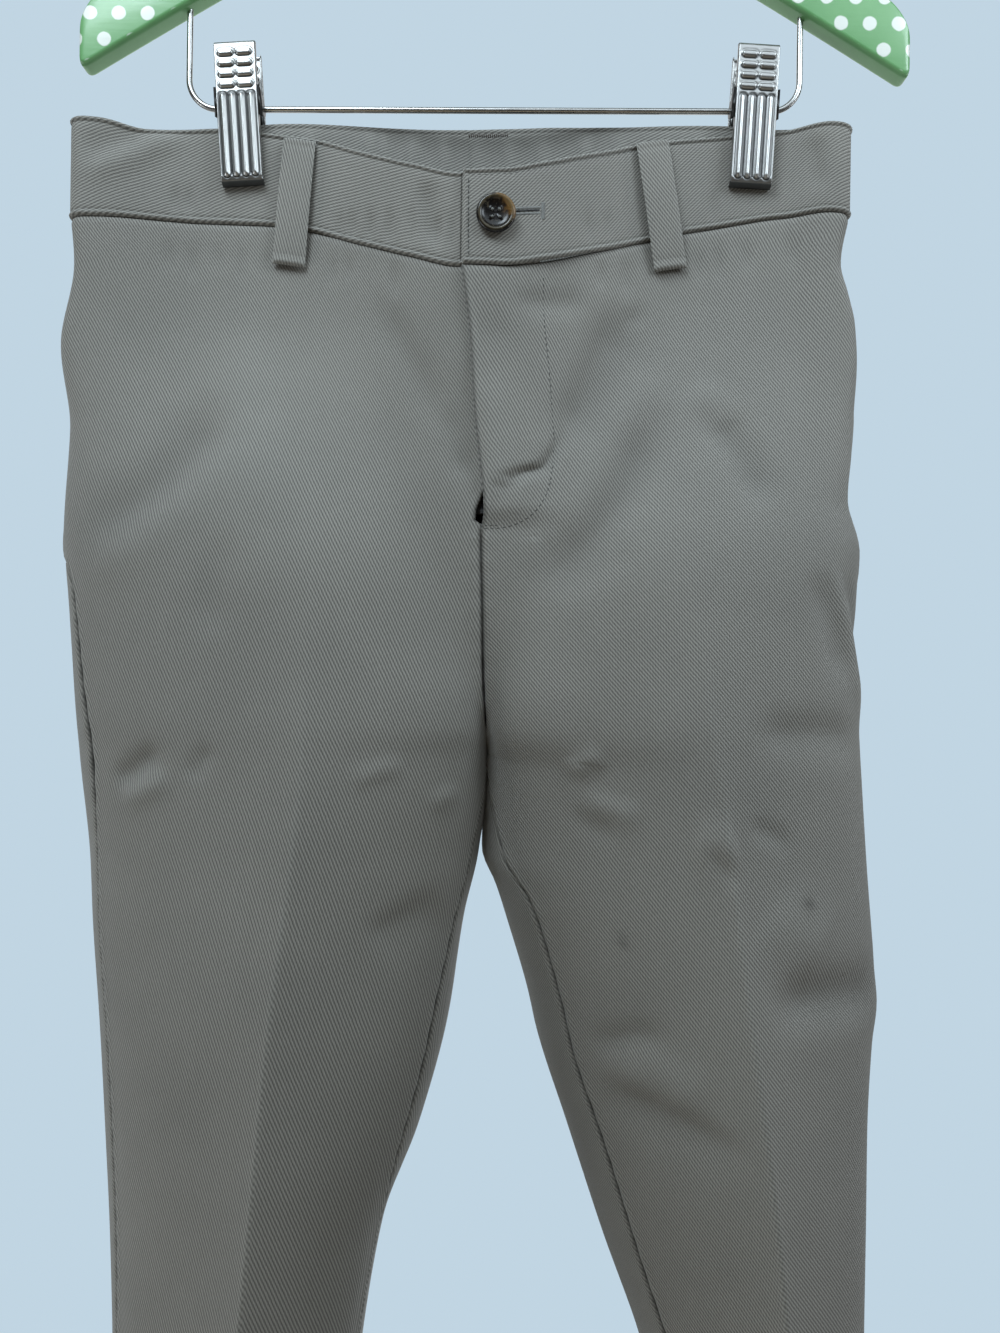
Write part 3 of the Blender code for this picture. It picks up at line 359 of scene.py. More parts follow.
# Ripples of the waistband, front and back
BAND_FOLDS = {
    "front": (
        (-1.2, 4.5, 5, ((-170, 30), (-160, 28), (-147, 23), (-135, 17), (-122, 13))),
        (0.8, 6, 6, ((-169, 22), (-155, 18), (-139, 12))),
        (1.2, 5, 3.2, ((-27, 38), (-25, 51), (-24, 65))),
        (0.5, 2, 2.4, ((-130, 34), (-129, 40), (-130, 46))),
        (0.5, 2.3, 2.4, ((-123, 33), (-124, 40), (-123, 46))),
        (0.45, 2.6, 2.4, ((-117, 35), (-116, 41), (-116, 46))),
        (0.5, 2.3, 2.4, ((-62, 46), (-61, 52), (-62, 58))),
        (0.55, 2.6, 2.4, ((-56, 46), (-56, 53), (-55, 58))),
        (0.6, 2, 2.4, ((-48, 47), (-48, 54), (-49, 60))),
        (0.6, 2.3, 2.4, ((-40, 48), (-40, 56), (-40, 62))),
        (0.5, 2.6, 2.4, ((-32, 48), (-31, 56), (-31, 64))),
        (0.7, 2, 2.4, ((-20, 52), (-21, 59), (-21, 66))),
        (0.5, 2.3, 2.4, ((-16, 51), (-15, 59), (-16, 67))),
        (0.45, 2.6, 2.4, ((38, 48), (38, 54), (39, 60))),
        (0.4, 2, 2.4, ((45, 46), (46, 52), (44, 58))),
        (0.45, 2.3, 2.4, ((91, 34), (90, 40), (91, 46))),
        (0.5, 2.6, 2.4, ((98, 32), (99, 38), (99, 44))),
        (0.4, 2, 2.4, ((108, 32), (107, 38), (107, 43))),
        (0.8, 4, 4, ((130, 10), (131, 22), (133, 34))),
    ),
    "back": (
        (0.9, 3, 3, ((-52, 4), (-52, 20), (-51, 38))),
        (0.6, 2, 2, ((-47, 5), (-46, 20), (-47, 36))),
        (1.0, 3, 3, ((-34, 4), (-34, 22), (-35, 40))),
        (0.9, 2.6, 3, ((-22, 4), (-21, 20), (-22, 38))),
        (0.8, 3, 2.6, ((-8, 4), (-8, 20), (-7, 38))),
        (0.9, 3, 3, ((6, 4), (6, 22), (5, 38))),
        (0.7, 3, 3, ((20, 4), (20, 20), (21, 36))),
        (0.9, 3, 3, ((38, 4), (38, 20), (38, 38))),
        (0.7, 3, 3, ((52, 6), (52, 20), (53, 38))),
        (0.8, 3, 3, ((-76, 6), (-76, 20), (-75, 38))),
        (0.8, 3, 3, ((84, 6), (84, 20), (83, 38))),
    ),
}

# Straps: the face they lie on, then x and drop at the top and at the foot
BELT_LOOPS = {
    "belt_loop_front_right": ("front", -78.4, 15.4, -82.2, 66.4),
    "belt_loop_front_left": ("front", 63.8, 15.9, 72.2, 66.7),
    "belt_loop_back_right": ("back", -66.0, 4.6, -68.0, 57.0),
    "belt_loop_back_centre": ("back", -8.0, 3.0, -8.0, 56.0),
    "belt_loop_back_left": ("back", 62.0, 2.8, 64.0, 55.5),
}

# The fly's topstitching, which turns in at its foot, and the bar tack below
J_STITCH = table("x drop", (
    (20.3, 76.0), (20.9, 93.3), (23.1, 113.5), (24.5, 129.4), (25.4, 141.2), (23.7, 157.6),
    (20.0, 166.5), (14.4, 171.9), (7.9, 174.6), (3.8, 175.3), (-1.6, 175.4),
))
STITCH_STEP = 2.3
FLY_TACK = ((-1.4, 174.2), (4.4, 174.2))
LAP_STITCH = ((-9.0, 40.6), (-8.9, 50), (-8.8, 60), (-8.5, 70.2))
REAR_TACK = ((-10.3, 5.6), (5.6, 5.2))
BUTTONHOLE = ((10.4, 52.7), (20.2, 51.4))

# Outline of a jaw's side: distance from the bar's plane and height over the bar. It runs down
# the outer face, round the lip that grips the cloth, and up the inner face.
JAW_OUTLINE = table("out up", (
    (6.4, 24.3),
    (7.2, 0.8),
    (7.0, -30.4),
    (6.3, -32.0),
    (3.0, -33.1),
))

# Small dark spots on the front: x, drop and size
STAINS = ((52.9, 328.7, 2.0), (120.7, 314.0, 2.6))


def smooth_step(start, end, value):
    """0 before start, 1 after end, an S-curve between."""
    part = np.clip((value - start) / (end - start), 0, 1)
    return part * part * (3 - 2 * part)


def bell(distance, width):
    """Bell curve: 1 where the distance is 0, fading over the width."""
    return np.exp(-(distance / width) ** 2)


def paired(first, second):
    """Two arrays of numbers, stretched to one shape."""
    return np.broadcast_arrays(np.asarray(first, dtype=float), np.asarray(second, dtype=float))


def read(source, along, name, at):
    """Smooth curve through a column: cubic pieces with slopes that never overshoot."""
    xs, ys = source[along], source[name]
    at = np.clip(at, xs[0], xs[-1])
    step = np.diff(xs)
    rise = np.diff(ys) / step
    product = rise[:-1] * rise[1:]
    total = np.where(product > 0, rise[:-1] + rise[1:], 1)
    slope = np.concatenate((rise[:1], np.where(product > 0, 2 * product / total, 0), rise[-1:]))
    row = np.clip(np.searchsorted(xs, at, side="right") - 1, 0, len(step) - 1)
    t = (at - xs[row]) / step[row]
    start = ys[row] * (1 + 2 * t) * (1 - t) ** 2 + ys[row + 1] * t * t * (3 - 2 * t)
    bend = slope[row] * t * (1 - t) ** 2 - slope[row + 1] * t * t * (1 - t)
    return start + bend * step[row]


def sag_fade(row):
    """How much of the waist's sag a row still has: all at the waist and none from SAG_END."""
    return 1 - smooth_step(WAIST_ROW, SAG_END, row)


def centre_drop(row):
    """Drop of a row on the centre line, where the waist hangs lowest."""
    return row + CENTRE_SAG * sag_fade(row)


def ring_depth(x, side, sag):
    """How far the waist stands from the clip plane: sagging between the clips, bulging beyond."""
    clip = CLIP_X[side]
    edge = LEGS[side]["outer"][0]
    from_clip = np.maximum(np.abs(x - clip) - CLIP_FLAT, 0)
    within = np.abs(x) < abs(clip)
    span = np.where(within, abs(clip - RING_CENTRE), abs(edge - clip)) - CLIP_FLAT
    part = np.clip(from_clip / span, 0, 1)
    inside = sag * np.sin(part * math.pi / 2) ** 2
    outside = SIDE_BULGE * smooth_step(0, RING_SIDE_REACH, part)
    return PINCH_HALF + np.where(within, inside, outside)


def quarter(t, start, end, first, last):
    """Cubic curve from start to end with the two given handles."""
    return (start * (1 - t) ** 3 + 3 * (start + first) * t * (1 - t) ** 2
            + 3 * (end + last) * t * t * (1 - t) + end * t ** 3)


def section(side, q, row):
    """Plan of one half's section at place q and at a row."""
    leg, out = LEGS[side], OUT[side]
    centre = read(CENTRE_LINE, "drop", "x", centre_drop(row))
    closing = smooth_step(FOLD_CLEAR_FROM, CROTCH_DROP, row)
    clear = CENTRE_CLEAR + (FOLD_CLEAR - CENTRE_CLEAR) * closing
    inner_leg = read(leg, "drop", "inner", row) + out * CLOTH_WALL / 2
    in_leg = smooth_step(CROTCH_DROP, LEG_FROM, row)
    inner = (centre + out * clear) * (1 - in_leg) + inner_leg * in_leg
    outer = read(leg, "drop", "outer", row) - out * CLOTH_WALL / 2
    front_x = read(leg, "drop", "crease", row)
    back_x = outer + inner - front_x
    depth = {name: read(DEPTHS, "drop", name, row) for name in DEPTHS if name != "drop"}
    tuck = smooth_step(*TUCK_START, row) * (1 - smooth_step(*TUCK_FINISH, row)) * (side == "left")
    inner = inner - TUCK_OVER * tuck
    depth["centre_front"] = depth["centre_front"] + TUCK_BEHIND * tuck
    depth["centre_back"] = depth["centre_back"] + TUCK_BEHIND * tuck
    reach = HIP_HANDLE + (LEG_HANDLE - HIP_HANDLE) * smooth_step(HANDLE_FROM, HANDLE_TO, row)

    corners = (
        (inner, depth["centre_front"]), (front_x, depth["front"]), (outer, depth["side"]),
        (back_x, depth["back"]), (inner, depth["centre_back"]),
    )
    x = np.zeros(np.broadcast(q, row).shape)
    y = np.zeros_like(x)
    for piece in range(4):
        (ax, ay), (bx, by) = corners[piece], corners[piece + 1]
        dx, dy = bx - ax, by - ay
        straight = depth["crease"] * CREASE_HANDLE
        at_crease = (dx * (reach * (1 - depth["crease"]) + straight), dy * straight)
        at_outer = (0 * dx, dy * reach)
        at_inner = (dx * reach * (1 - depth["turn"]), dy * reach * depth["turn"])
        first = (at_inner, at_crease, at_outer, at_crease)[piece]
        last = (at_crease, at_outer, at_crease, at_inner)[piece]
        t = q - piece
        here = (t >= 0) & (t <= 1)
        x = np.where(here, quarter(t, ax, bx, first[0], -last[0]), x)
        y = np.where(here, quarter(t, ay, by, first[1], -last[1]), y)

    front = q < 2
    ring = np.where(front, -ring_depth(x, side, FRONT_SAG), ring_depth(x, side, BACK_SAG))
    end = np.sin(math.pi / 2 * np.clip(np.abs(q - 2) / RING_END, 0, 1))
    ring = SIDE_Y + (ring - SIDE_Y) * end
    blend = smooth_step(WAIST_ROW, RING_BLEND_END, row)
    return x, ring + (y - ring) * blend


def other(side):
    """The other half."""
    return "left" if side == "right" else "right"


def section_round(side, q, row):
    """Section past its ends: on into the other half above the crotch, round again below."""
    q, row = paired(q, row)
    above = row < CROTCH_DROP
    past = (q < 0) | (q > 4)
    wrapped = np.where(q < 0, np.where(above, -q, q + 4), np.where(above, 8 - q, q - 4))
    x, y = section(side, np.where(past, wrapped, q), row)
    far_x, far_y = section(other(side), np.where(past, wrapped, q), row)
    cross = past & above
    return np.where(cross, far_x, x), np.where(cross, far_y, y)


def panel_base(side, q, row):
    """Point of the middle of a panel's wall, before its folds."""
    q, row = paired(q, row)
    x, y = section_round(side, q, row)
    edge = np.where(q < 2, read(WAIST, "x", "front_bottom", x), read(WAIST, "x", "back_bottom", x))
    drop = row + (edge - WAIST_ROW) * sag_fade(row)
    return np.stack((x, y, BAR_Z - drop), axis=-1)


def band_base(side, q, part):
    """Point of the middle of the waistband, with part 0 at its top edge and 1 at its seam."""
    q, part = paired(q, part)
    x, y = section_round(side, q, np.full(q.shape, WAIST_ROW))
    front = q < 2
    top = np.where(front, read(WAIST, "x", "front_top", x), read(WAIST, "x", "back_top", x))
    foot = np.where(front, read(WAIST, "x", "front_bottom", x), read(WAIST, "x", "back_bottom", x))
    return np.stack((x, y, BAR_Z - top - part * (foot - top)), axis=-1)


def unit(vectors):
    """Vectors brought to length 1."""
    return vectors / np.maximum(np.linalg.norm(vectors, axis=-1, keepdims=True), 1e-9)


def outward(point, side, q, row, q_step=0.004, row_step=0.5):
    """Unit normal of a surface, from the differences across each place."""
    across = point(side, q + q_step, row) - point(side, q - q_step, row)
    down = point(side, q, row + row_step) - point(side, q, row - row_step)
    normal = np.cross(across, down) if side == "right" else np.cross(down, across)
    return unit(normal)


def grid_normals(points, like):
    """Unit normals of a grid from its own differences, turned the same way as the given ones."""
    across = np.gradient(points, axis=1)
    down = np.gradient(points, axis=0)
    normal = unit(np.cross(across, down))
    same = np.sum(normal * like, axis=-1, keepdims=True)
    return np.where(same < 0, -normal, normal)


def speed(side, q, row, step=0.01):
    """Millimetres of cloth for one unit of q."""
    ahead, behind = panel_base(side, q + step, row), panel_base(side, q - step, row)
    return np.linalg.norm(ahead - behind, axis=-1) / (2 * step)


PLACE_SAMPLES = 121


def place_of(side, row, x, front=True):
    """Place q on the front or back where each row's section has the given x."""
    places = np.linspace(0 if front else 4, 2, PLACE_SAMPLES)
    row, x = paired(row, x)
    flat_row, flat_x = row.reshape(-1, 1), OUT[side] * x.reshape(-1, 1)
    xs = np.maximum.accumulate(OUT[side] * section(side, places[None], flat_row)[0], axis=1)
    low = np.clip(np.sum(xs < flat_x, axis=1) - 1, 0, len(places) - 2)
    line = np.arange(len(low))
    gap = np.maximum(xs[line, low + 1] - xs[line, low], 1e-9)
    part = np.clip((flat_x[:, 0] - xs[line, low]) / gap, 0, 1)
    return (places[low] + (places[low + 1] - places[low]) * part).reshape(x.shape)


def seam_places(side, rows):
    """Places of the side seam and of the inseam, row by row."""
    leg, out = LEGS[side], OUT[side]
    outer = section(side, np.full(rows.shape, 2.0), rows)[0]
    inner = section(side, np.zeros(rows.shape), rows)[0]
    side_seam = place_of(side, rows, outer - out * read(leg, "drop", "seam_out", rows))
    inseam = place_of(side, rows, inner + out * read(leg, "drop", "seam_in", rows))
    side_seam = np.where(read(leg, "drop", "seam_out", rows) < 0.05, 2.0, side_seam)
    inseam = np.where(read(leg, "drop", "seam_in", rows) < 0.05, 0.0, inseam)
    return side_seam, inseam


def fly_lift(x, drop, lift, lap):
    """How far the left side stands forward over the right one, which laps under it this far."""
    across = x - read(CENTRE_LINE, "drop", "x", drop)
    above_foot = 1 - smooth_step(FLY_END - 10, FLY_END, drop)
    return lift * (1 - smooth_step(lap, lap + FLY_FADE, across)) * above_foot


def lap_lift(x):
    """How far the left end of the waistband stands forward over the right one."""
    return fly_lift(x, CENTRE_LINE["drop"][0], BAND_LIFT, BAND_UNDERLAP)


def curve_through(points, count):
    """Smooth line through points, read at even steps of its length."""
    points = np.asarray(points, dtype=float)
    lengths = np.concatenate(([0], np.cumsum(np.linalg.norm(np.diff(points, axis=0), axis=1))))
    columns = {"s": lengths}
    columns.update({str(k): points[:, k] for k in range(points.shape[1])})
    at = np.linspace(0, lengths[-1], count)
    return np.stack([read(columns, "s", str(k), at) for k in range(points.shape[1])], axis=-1)


FOLD_STEPS = 14


def fold_depth(folds, x, drop):
    """Sum of troughs. Each is a bell curve of the distance to its line, with its own width on
    either side, faded to nothing at both ends."""
    relief = np.zeros(x.shape)
    for depth, near, far, line in folds:
        path = curve_through(line, FOLD_STEPS)
        reach = 3 * max(near, far)
        low, high = path.min(axis=0) - reach, path.max(axis=0) + reach
        here = (x > low[0]) & (x < high[0]) & (drop > low[1]) & (drop < high[1])
        if not here.any():
            continue
        px, pd = x[here], drop[here]
        best = np.full(px.shape, 1e9)
        part = np.zeros(px.shape)
        turn = np.zeros(px.shape)
        for k in range(len(path) - 1):
            (ax, ad), (bx, bd) = path[k], path[k + 1]
            dx, dd = bx - ax, bd - ad
            t = np.clip(((px - ax) * dx + (pd - ad) * dd) / (dx * dx + dd * dd), 0, 1)
            apart = np.hypot(px - ax - t * dx, pd - ad - t * dd)
            closer = apart < best
            best = np.where(closer, apart, best)
            part = np.where(closer, (k + t) / (len(path) - 1), part)
            turn = np.where(closer, dx * (pd - ad) - dd * (px - ax), turn)
        width = np.where(turn < 0, near, far)
        ends = smooth_step(-0.02, 0.3, part) * (1 - smooth_step(0.7, 1.02, part))
        relief[here] += depth * ends * bell(best, width)
    return relief


def unevenness(x, drop, seed):
    """Slight hollows of hanging cloth: four long waves across one another."""
    waves = ((0.050, 0.012, 0.30), (0.021, 0.034, 0.26), (-0.037, 0.026, 0.20), (0.090, 0.041, 0.12))
    total = np.zeros(x.shape)
    for k, (ax, ad, height) in enumerate(waves):
        total = total + height * np.sin(x * ax + drop * ad + seed + 1.7 * k)
    return total


def seam_pucker(distance, along, height):
    """Small even waves beside a seam, faded within 9 mm of it."""
    wave = 2 * math.pi * along / 11.0 + 1.3 * np.sin(along / 17.0)
    return height * bell(distance, 4.5) * np.sin(wave)


# Materials


class Nodes:
    """Nodes of one tree. Their inputs are numbers, colours or other nodes' outputs."""

    def __init__(self, tree):
        self.tree = tree

    def feed(self, socket, value):
        """Link an output to a socket, or set the socket to a plain value."""
        if isinstance(value, bpy.types.NodeSocket):
            self.tree.links.new(value, socket)
        else:
            socket.default_value = value

    def node(self, kind, settings=None, *places, **named):
        """Node of a kind with its own settings, its inputs given in order or by name."""
        made = self.tree.nodes.new("ShaderNode" + kind)
        for key, value in (settings or {}).items():
            setattr(made, key, value)
        for index, value in enumerate(places):
            self.feed(made.inputs[index], value)
        for key, value in named.items():
            self.feed(made.inputs[key.replace("_", " ")], value)
        return made

    def maths(self, operation, *values):
        """Output of one sum."""
        return self.node("Math", {"operation": operation}, *values).outputs[0]

    def add(self, first, second):
        """Output of two values added."""
        return self.maths("ADD", first, second)

    def times(self, first, second):
        """Output of two values multiplied."""
        return self.maths("MULTIPLY", first, second)

    def noise(self, place, output="Fac", **named):
        """Output of a noise pattern."""
        return self.node("TexNoise", None, place, **named).outputs[output]

    def wave(self, direction, place, **named):
        """Output of bands across one direction."""
        return self.node("TexWave", {"bands_direction": direction}, place, **named).outputs["Fac"]

    def stretched(self, place, scale):
        """A place stretched along each axis."""
        return self.node("Mapping", None, place, Scale=scale).outputs[0]

    def attribute(self, name):
        """Output of one of the piece's point attributes."""
        return self.node("Attribute", {"attribute_name": name}).outputs["Fac"]

    def blend(self, factor, first, second, how="MIX"):
        """Output of two colours blended by a factor."""
        made = self.node("Mix", {"data_type": "RGBA", "blend_type": how})
        for index, value in ((0, factor), (6, first), (7, second)):
            self.feed(made.inputs[index], value)
        return made.outputs[2]

    def ramp(self, factor, *stops):
        """Output of a colour ramp with these places and colours."""
        made = self.node("ValToRGB", None, factor)
        points = made.color_ramp.elements
        while len(points) < len(stops):
            points.new(0.5)
        for point, (place, colour) in zip(points, stops):
            point.position = place
            point.color = (*colour, 1)
        return made.outputs[0]

    def bump(self, strength, distance, height, **named):
        """Normal tilted by a height, over the one given as Normal."""
        return self.node("Bump", None, Strength=strength, Distance=distance, Height=height,
                         **named).outputs[0]


class Finish(Nodes):
    """Principled material with constants on the shader's own sockets, and the piece's place."""

    def __init__(self, name, **settings):
        self.made = bpy.data.materials.new(name)
        self.made.use_nodes = True
        super().__init__(self.made.node_tree)
        self.shader = self.tree.nodes["Principled BSDF"]
        for key, value in settings.items():
            self.shader.inputs[key.replace("_", " ")].default_value = value
        self.place = self.node("TexCoord").outputs["Object"]

    def done(self, **fed):
        """The material, with these inputs of its shader linked."""
        for key, value in fed.items():
            self.feed(self.shader.inputs[key.replace("_", " ")], value)
        return self.made


def grey(value):
    """Colour without a hue."""
    return (value, value, value)


def scaled(colour, factor):
    """A lighter or darker colour."""
    return tuple(c * factor for c in colour)


def twill_material(name, tint):
    """Cotton twill on the piece's own UV map, in centimetres, with the wales running along V.
    Bands across U are the wales, finer bands along V are the threads that make them up, and
    noise at two sizes makes them uneven. A point attribute lightens it where above 0, with
    painted highlights and wear, and darkens it where below 0, with painted shade and stains."""
    twill = Finish(name, Sheen_Weight=0.18, Sheen_Roughness=0.45, Specular_IOR_Level=0.25)
    uv = twill.node("UVMap", {"uv_map": "weave"}).outputs[0]
    wale = twill.wave("X", uv, Scale=2 * math.pi / 20 / (WALE_PITCH / 10), Distortion=0.9,
                      Detail=2.0, Detail_Scale=1.4)
    thread = twill.wave("DIAGONAL", uv, Scale=4.6, Distortion=0.6, Detail_Scale=2.0)
    slub = twill.noise(uv, Scale=9.0, Detail=3.0, Roughness=0.7)
    cloud = twill.noise(twill.place, Scale=16.0, Detail=3.0, Roughness=0.55)
    weave = twill.add(twill.times(wale, 0.78), twill.times(thread, 0.22))
    colour = twill.ramp(weave, (0.12, scaled(tint, 0.56)), (0.5, tint), (0.9, scaled(tint, 1.36)))
    uneven = twill.add(twill.add(twill.times(slub, 0.40), twill.times(cloud, 0.34)), 0.63)
    uneven = twill.node("CombineColor", None, uneven, uneven, uneven).outputs[0]
    colour = twill.blend(1.0, colour, uneven, "MULTIPLY")
    # Painted light: the point attribute lightens towards a pale tone for painted highlights and wear,
    # and darkens towards near black for painted shade and stains
    painted_light_wear_and_stains = twill.attribute("painted_light_wear_and_stains")
    painted_highlight_and_wear = twill.maths("MAXIMUM", painted_light_wear_and_stains, 0.0)
    painted_shade_and_stains = twill.maths("MAXIMUM", twill.times(painted_light_wear_and_stains, -1.0), 0.0)
    colour = twill.blend(painted_highlight_and_wear, colour, (0.33, 0.335, 0.31, 1))
    colour = twill.blend(painted_shade_and_stains, colour, (0.035, 0.034, 0.030, 1))
    bump = twill.bump(0.7, 0.0002, weave)
    return twill.done(Base_Color=colour, Roughness=twill.add(twill.times(slub, 0.16), 0.74),
                      Normal=twill.bump(0.25, 0.0004, slub, Normal=bump))


def thread_material(name, tint):
    """Sewing thread: fine bands round the twist, and noise."""
    thread = Finish(name, Sheen_Weight=0.2)
    twist = thread.wave("DIAGONAL", thread.place, Scale=900.0, Distortion=1.0)
    tone = thread.noise(thread.place, Scale=300.0, Detail=2.0)
    mixed = thread.times(thread.add(twist, tone), 0.5)
    colour = thread.ramp(mixed, (0.1, scaled(tint, 0.6)), (0.9, scaled(tint, 1.3)))
    return thread.done(Base_Color=colour, Roughness=thread.add(thread.times(tone, 0.2), 0.55),
                       Normal=thread.bump(0.5, 0.0001, twist))


def tape_material():
    """Black zip tape: fine ribs across its length."""
    tape = Finish("black_zip_tape", Sheen_Weight=0.15)
    rib = tape.wave("Z", tape.place, Scale=520.0, Distortion=0.6)
    colour = tape.ramp(rib, (0.0, grey(0.006)), (1.0, grey(0.022)))
    return tape.done(Base_Color=colour, Roughness=tape.add(tape.times(rib, 0.2), 0.6),
                     Normal=tape.bump(0.6, 0.0002, rib))


def steel_material(name, tone, rough):
    """Plated steel: fine drawn lines, a cloudy polish and small dull specks. A point attribute
    paints shade nearly black on it, in the jaws' grooves, under their lip and on their ears."""
    steel = Finish(name, Metallic=1.0)
    cloud = steel.noise(steel.place, Scale=140.0, Detail=4.0, Roughness=0.6)
    lines = steel.noise(steel.stretched(steel.place, (900.0, 900.0, 60.0)), Scale=1.0, Detail=2.0)
    specks = steel.noise(steel.place, Scale=800.0, Detail=1.0)
    dull = steel.ramp(specks, (0.74, grey(0.0)), (0.80, grey(0.6)))
    colour = steel.ramp(cloud, (0.3, scaled(tone, 0.86)), (0.7, tone))
    colour = steel.blend(dull, colour, (0.28, 0.26, 0.22, 1))
    # Painted shade, nearly black, where the point attribute is set
    colour = steel.blend(steel.attribute("painted_shade"), colour, (0.045, 0.045, 0.045, 1))
    level = steel.add(steel.times(cloud, 0.22), rough - 0.08)
    level = steel.add(level, steel.times(dull, 0.3))
    bump = steel.bump(0.05, 0.00004, lines)
    return steel.done(Base_Color=colour, Roughness=level,
                      Normal=steel.bump(0.08, 0.0002, cloud, Normal=bump))


DOT_PITCH_X = 0.0117
DOT_PITCH_Z = 0.0106
DOT_RADIUS = 0.00285
DOT_SOFT = 0.00025
DOT_WOBBLE = 0.0007


def painted_wood_material():
    """Glossy green paint with staggered white dots on the flat faces. A dot is the distance to
    the middle of a cell, in rows of cells that shift by half a cell from row to row."""
    paint = Finish("green_dotted_paint", Coat_Weight=0.35, Coat_Roughness=0.12)
    wobble = paint.noise(paint.place, "Color", Scale=260.0, Detail=2.0)
    moved = paint.node("VectorMath", {"operation": "MULTIPLY_ADD"}, wobble, (DOT_WOBBLE,) * 3,
                       paint.place).outputs[0]
    axes = paint.node("SeparateXYZ", None, moved).outputs
    row = paint.maths("DIVIDE", axes["Z"], DOT_PITCH_Z)
    shift = paint.times(paint.maths("FLOORED_MODULO", paint.maths("FLOOR", row), 2.0), 0.5)
    column = paint.add(paint.maths("DIVIDE", axes["X"], DOT_PITCH_X), shift)
    squares = []
    for cell, pitch in ((column, DOT_PITCH_X), (row, DOT_PITCH_Z)):
        off = paint.times(paint.maths("SUBTRACT", paint.maths("FRACT", cell), 0.5), pitch)
        squares.append(paint.times(off, off))
    apart = paint.maths("SQRT", paint.add(*squares))
    dot = paint.node("MapRange", None, apart, DOT_RADIUS - DOT_SOFT, DOT_RADIUS + DOT_SOFT, 1.0,
                     0.0).outputs[0]
    dot = paint.times(dot, paint.attribute("flat_face"))
    cloud = paint.noise(paint.place, Scale=60.0, Detail=3.0)
    grain = paint.noise(paint.stretched(paint.place, (60.0, 60.0, 600.0)), Scale=1.0, Detail=3.0)
    green = paint.ramp(cloud, (0.3, (0.135, 0.345, 0.135)), (0.7, (0.175, 0.405, 0.170)))
    bump = paint.bump(0.15, 0.0004, grain)
    return paint.done(Base_Color=paint.blend(dot, green, (0.74, 0.78, 0.72, 1)),
                      Roughness=paint.add(paint.times(cloud, 0.2), 0.25),
                      Normal=paint.bump(0.3, 0.0001, dot, Normal=bump))


def button_material():
    """Imitation horn: dark brown to black, an amber patch towards the upper right and pale
    streaks, all on the button's own place. The rim attribute lightens its edge."""
    horn = Finish("horn_button", Coat_Weight=0.12, Coat_Roughness=0.1, Specular_IOR_Level=0.3)
    centre = (BUTTON_X * MM, 0.0, (BAR_Z - BUTTON_DROP) * MM)
    local = horn.node("VectorMath", {"operation": "SUBTRACT"}, horn.place, centre).outputs[0]
    axes = horn.node("SeparateXYZ", None, local).outputs
    swirl = horn.noise(local, Scale=260.0, Detail=4.0, Distortion=1.2)
    lean = horn.add(horn.times(axes["X"], 90.0), horn.times(axes["Z"], 70.0))
    patch = horn.add(horn.add(lean, horn.times(swirl, 0.9)), -0.25)
    colour = horn.ramp(patch, (0.40, (0.005, 0.004, 0.004)), (0.62, (0.020, 0.012, 0.007)),
                       (0.78, (0.12, 0.062, 0.018)), (0.95, (0.17, 0.095, 0.030)))
    streak = horn.noise(local, Scale=420.0, Detail=2.0, Distortion=2.0)
    streak = horn.ramp(streak, (0.60, grey(0.0)), (0.72, grey(1.0)))
    colour = horn.blend(horn.times(streak, 0.35), colour, (0.20, 0.17, 0.12, 1))
    rim = horn.times(horn.attribute("rim"), 0.6)
    return horn.done(Base_Color=horn.blend(rim, colour, (0.105, 0.085, 0.048, 1)),
                     Roughness=horn.add(horn.times(swirl, 0.15), 0.18),
                     Normal=horn.bump(0.1, 0.0002, swirl))


def floor_material():
    """Matt pale floor."""
    pale = Finish("pale_floor", Roughness=0.8)
    cloud = pale.noise(pale.place, Scale=5.0, Detail=3.0)
    colour = pale.ramp(cloud, (0.3, (0.60, 0.63, 0.65)), (0.7, (0.64, 0.67, 0.69)))
    return pale.done(Base_Color=colour)


TWILL = twill_material("grey_khaki_twill", (0.226, 0.220, 0.200))
# Topstitching thread near black: a dark thread colour with painted shade of its needle holes in it
SHADED_THREAD = thread_material("dark_thread_with_painted_shade", (0.060, 0.060, 0.055))
BROWN_THREAD = thread_material("brown_thread", (0.060, 0.040, 0.030))
PALE_THREAD = thread_material("pale_thread", (0.21, 0.215, 0.205))
TAPE = tape_material()
STEEL = steel_material("plated_steel", (0.46, 0.46, 0.45), 0.34)
WIRE = steel_material("drawn_wire", (0.50, 0.50, 0.49), 0.24)
PAINT = painted_wood_material()
HORN = button_material()


# Meshes


def lattice(rows, columns, around=False):
    """Quads between neighbouring rows and columns. around joins the last column to the first."""
    r, c = np.meshgrid(np.arange(rows - 1), np.arange(columns if around else columns - 1),
                       indexing="ij")
    ahead = (c + 1) % columns
    quads = np.stack((r * columns + c, (r + 1) * columns + c, (r + 1) * columns + ahead,
                      r * columns + ahead), axis=-1)
    return quads.reshape(-1, 4)


def join(parts):
    """One list of points and faces from several."""
    points, faces, start = [], [], 0
    for some_points, some_faces in parts:
        points.append(np.asarray(some_points, dtype=float).reshape(-1, 3))
        faces += [[start + k for k in face] for face in some_faces]
        start += len(points[-1])
    return np.concatenate(points), faces


def turn_faces_out(mesh):
    """Point all faces of a closed mesh outwards."""
    shape = bmesh.new()
    shape.from_mesh(mesh)
    bmesh.ops.recalc_face_normals(shape, faces=shape.faces)
    shape.to_mesh(mesh)
    shape.free()


